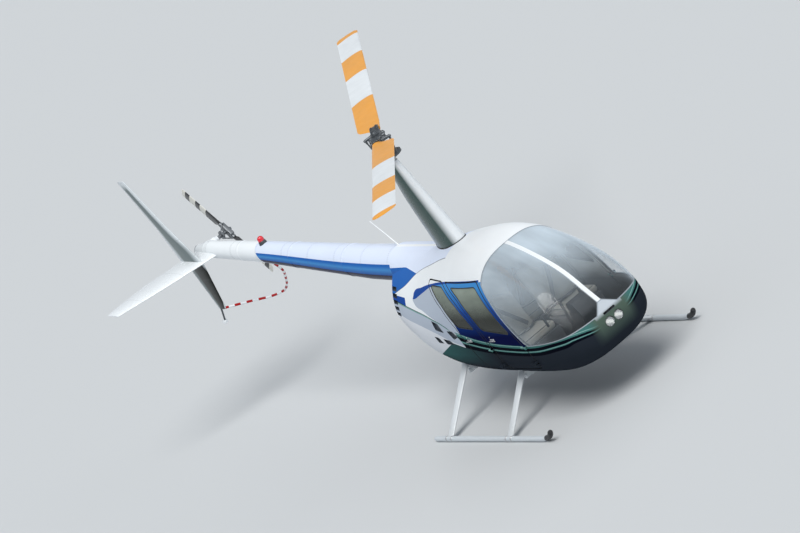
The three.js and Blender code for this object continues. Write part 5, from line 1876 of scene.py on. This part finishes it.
class HelicopterColors(bpy.types.PropertyGroup):
    """Paint, glass, lining and fabric colours."""
    white: color_setting("White", (0.86, 0.90, 0.93), "Roof, upper cowl, fairing and tail end")
    silver: color_setting("Silver", (0.47, 0.53, 0.62), "Side panels behind the doors")
    cowl: color_setting("Cowl", (0.74, 0.77, 0.82), "Lower engine cowl")
    # Navy is painted shade: the dark foot of the doors and the underside of the boom.
    navy: color_setting("Navy", (0.003, 0.006, 0.052), "Lower doors and boom underside")
    blue: color_setting("Blue", (0.012, 0.070, 0.34), "Door pillars and the arc over the windows")
    # Light blue is a painted sky reflection: on the tops of the door pillars and along the boom's side.
    blue_light: color_setting("Light blue", (0.055, 0.27, 0.64), "Tops of the door pillars")
    teal: color_setting("Teal", (0.040, 0.115, 0.115), "Rear part of the belly")
    slate: color_setting("Slate", (0.020, 0.026, 0.036), "Belly")
    nose: color_setting("Nose", (0.085, 0.125, 0.100), "Nose around the lamps")
    nose_cap: color_setting("Nose cap", (0.52, 0.57, 0.62), "Cap under the windscreen post")
    stripe: color_setting("Stripe green", (0.055, 0.165, 0.155), "Green of the stripes and beside the nose")
    stripe_dark: color_setting("Stripe black", (0.002, 0.003, 0.008), "Ground of the side stripes")
    stripe_pale: color_setting("Stripe line", (0.22, 0.40, 0.38), "Thin pale lines of the side stripes")
    boom_blue: color_setting("Boom blue", (0.018, 0.13, 0.47), "Band along the boom")
    boom_top: color_setting("Boom top", (0.74, 0.82, 0.98), "Top of the boom")
    # Fairing side is a painted dark reflection on the right face of the mast fairing.
    fairing_side: color_setting("Fairing side", (0.055, 0.095, 0.088), "Right face of the mast fairing")
    orange: color_setting("Orange", (0.93, 0.40, 0.035), "Blade bands")
    gear: color_setting("Gear", (0.70, 0.74, 0.77), "Landing gear arches")
    skid: color_setting("Skid grey", (0.60, 0.65, 0.69), "Skid rails")
    fin: color_setting("Fin edge", (0.66, 0.71, 0.74), "Leading and trailing edges of the fins")
    # Fin middle and lower fin are painted dark reflections on the flat faces of the fins.
    fin_middle: color_setting("Fin middle", (0.15, 0.19, 0.195), "Middle of the upper fin")
    fin_low: color_setting("Lower fin", (0.008, 0.011, 0.009), "Middle of the lower fin")
    # Windscreen tint is the colour of the painted sky reflection on the windscreen.
    glass: color_setting("Windscreen tint", (0.76, 0.88, 0.98), "Windscreen")
    side_glass: color_setting("Window tint", (0.012, 0.016, 0.008), "Lower part of the door windows")
    # Window top tint is a painted reflection on the upper part of the door windows.
    side_glass_top: color_setting("Window top tint", (0.36, 0.42, 0.36), "Upper part of the door windows")
    liner: color_setting("Liner", (0.56, 0.58, 0.57), "Cabin lining")
    seat: color_setting("Seat cloth", (0.46, 0.45, 0.40), "Seat covers")


class HelicopterSizes(bpy.types.PropertyGroup):
    """Sizes of walls, gaps and trim, and the light levels of the stage."""
    wall: length_setting("Pod wall", 0.028, "Thickness of the cabin and cowl wall")
    glass: length_setting("Glass", 0.007, "Thickness of the panes")
    door_gap: length_setting("Door gap", 0.012, "Gap around each door")
    boom_wall: length_setting("Boom wall", 0.006, "Thickness of the tail boom's wall")
    guard_bands: length_setting("Guard bands", 0.145, "Length of a white and a red band of the guard")
    belt_width: length_setting("Belt width", 0.044, "Width of the seat belts")
    sky_light: light_setting("Sky light", 0.42, "Strength of the even light")
    key_light: light_setting("Key light", 2.55, "Strength of the light from above right")
    front_light: light_setting("Front light", 0.40, "Strength of the light from ahead")


def operator(suffix, label, text, build):
    """One add-on operator around a building function."""

    def execute(self, context):
        build()
        return {"FINISHED"}

    return type(f"HELICOPTER_OT_{suffix}", (bpy.types.Operator,), {
        "bl_idname": f"helicopter.{suffix}", "bl_label": label, "__doc__": text, "execute": execute})


OPERATORS = [
    operator("pod", "Build Cabin and Cowl", "Cabin skin, tub and engine cowl", build_pod),
    operator("windscreen", "Build Windscreen", "Windscreen halves, post and seal", build_windscreen),
    operator("doors", "Build Doors", "Four doors with windows, seals and handles", build_doors),
    operator("lamps", "Build Lamps", "Landing lamps in the nose", build_lamps),
    operator("engine", "Build Engine Bay", "Engine finishes, exhaust and grille slats", build_engine),
    operator("fairing", "Build Mast Fairing", "Mast fairing with its base seal", build_fairing),
    operator("main_rotor", "Build Main Rotor", "Rotor head and two banded blades", build_main_rotor),
    operator("boom", "Build Tail Boom", "Tail boom, bands and gearbox", build_boom),
    operator("tail_rotor", "Build Tail Rotor", "Tail rotor head and blades", build_tail_rotor),
    operator("tail", "Build Tail Surfaces", "Stabiliser, fins, guard, lamp, beacon", build_tail_surfaces),
    operator("gear", "Build Landing Gear", "Arches, skids, clamps and wear shoes", build_gear),
    operator("seats", "Build Seats", "Seat cushions, backs and belts", build_seats),
    operator("controls", "Build Controls", "Instruments, cyclic bar, pedals and levers", build_controls),
    operator("stage", "Build Stage", "Floor, light and camera", build_stage),
]


class HELICOPTER_PT_panel(bpy.types.Panel):
    """Lists the building steps and settings."""
    bl_label = "Helicopter"
    bl_idname = "HELICOPTER_PT_panel"
    bl_space_type = "VIEW_3D"
    bl_region_type = "UI"
    bl_category = "Helicopter"

    def draw(self, context):
        for step in OPERATORS:
            self.layout.operator(step.bl_idname)
        for group in (context.scene.helicopter_colors, context.scene.helicopter_sizes):
            for key in group.__annotations__:
                self.layout.prop(group, key)


CLASSES = [HelicopterColors, HelicopterSizes, *OPERATORS, HELICOPTER_PT_panel]


def register():
    for item in CLASSES:
        bpy.utils.register_class(item)
    bpy.types.Scene.helicopter_colors = bpy.props.PointerProperty(type=HelicopterColors)
    bpy.types.Scene.helicopter_sizes = bpy.props.PointerProperty(type=HelicopterSizes)


def unregister():
    del bpy.types.Scene.helicopter_colors
    del bpy.types.Scene.helicopter_sizes
    for item in reversed(CLASSES):
        bpy.utils.unregister_class(item)


def main():
    register()
    for step in OPERATORS:
        name = step.bl_idname.split(".")[1]
        getattr(bpy.ops.helicopter, name)()


if __name__ == "__main__":
    main()
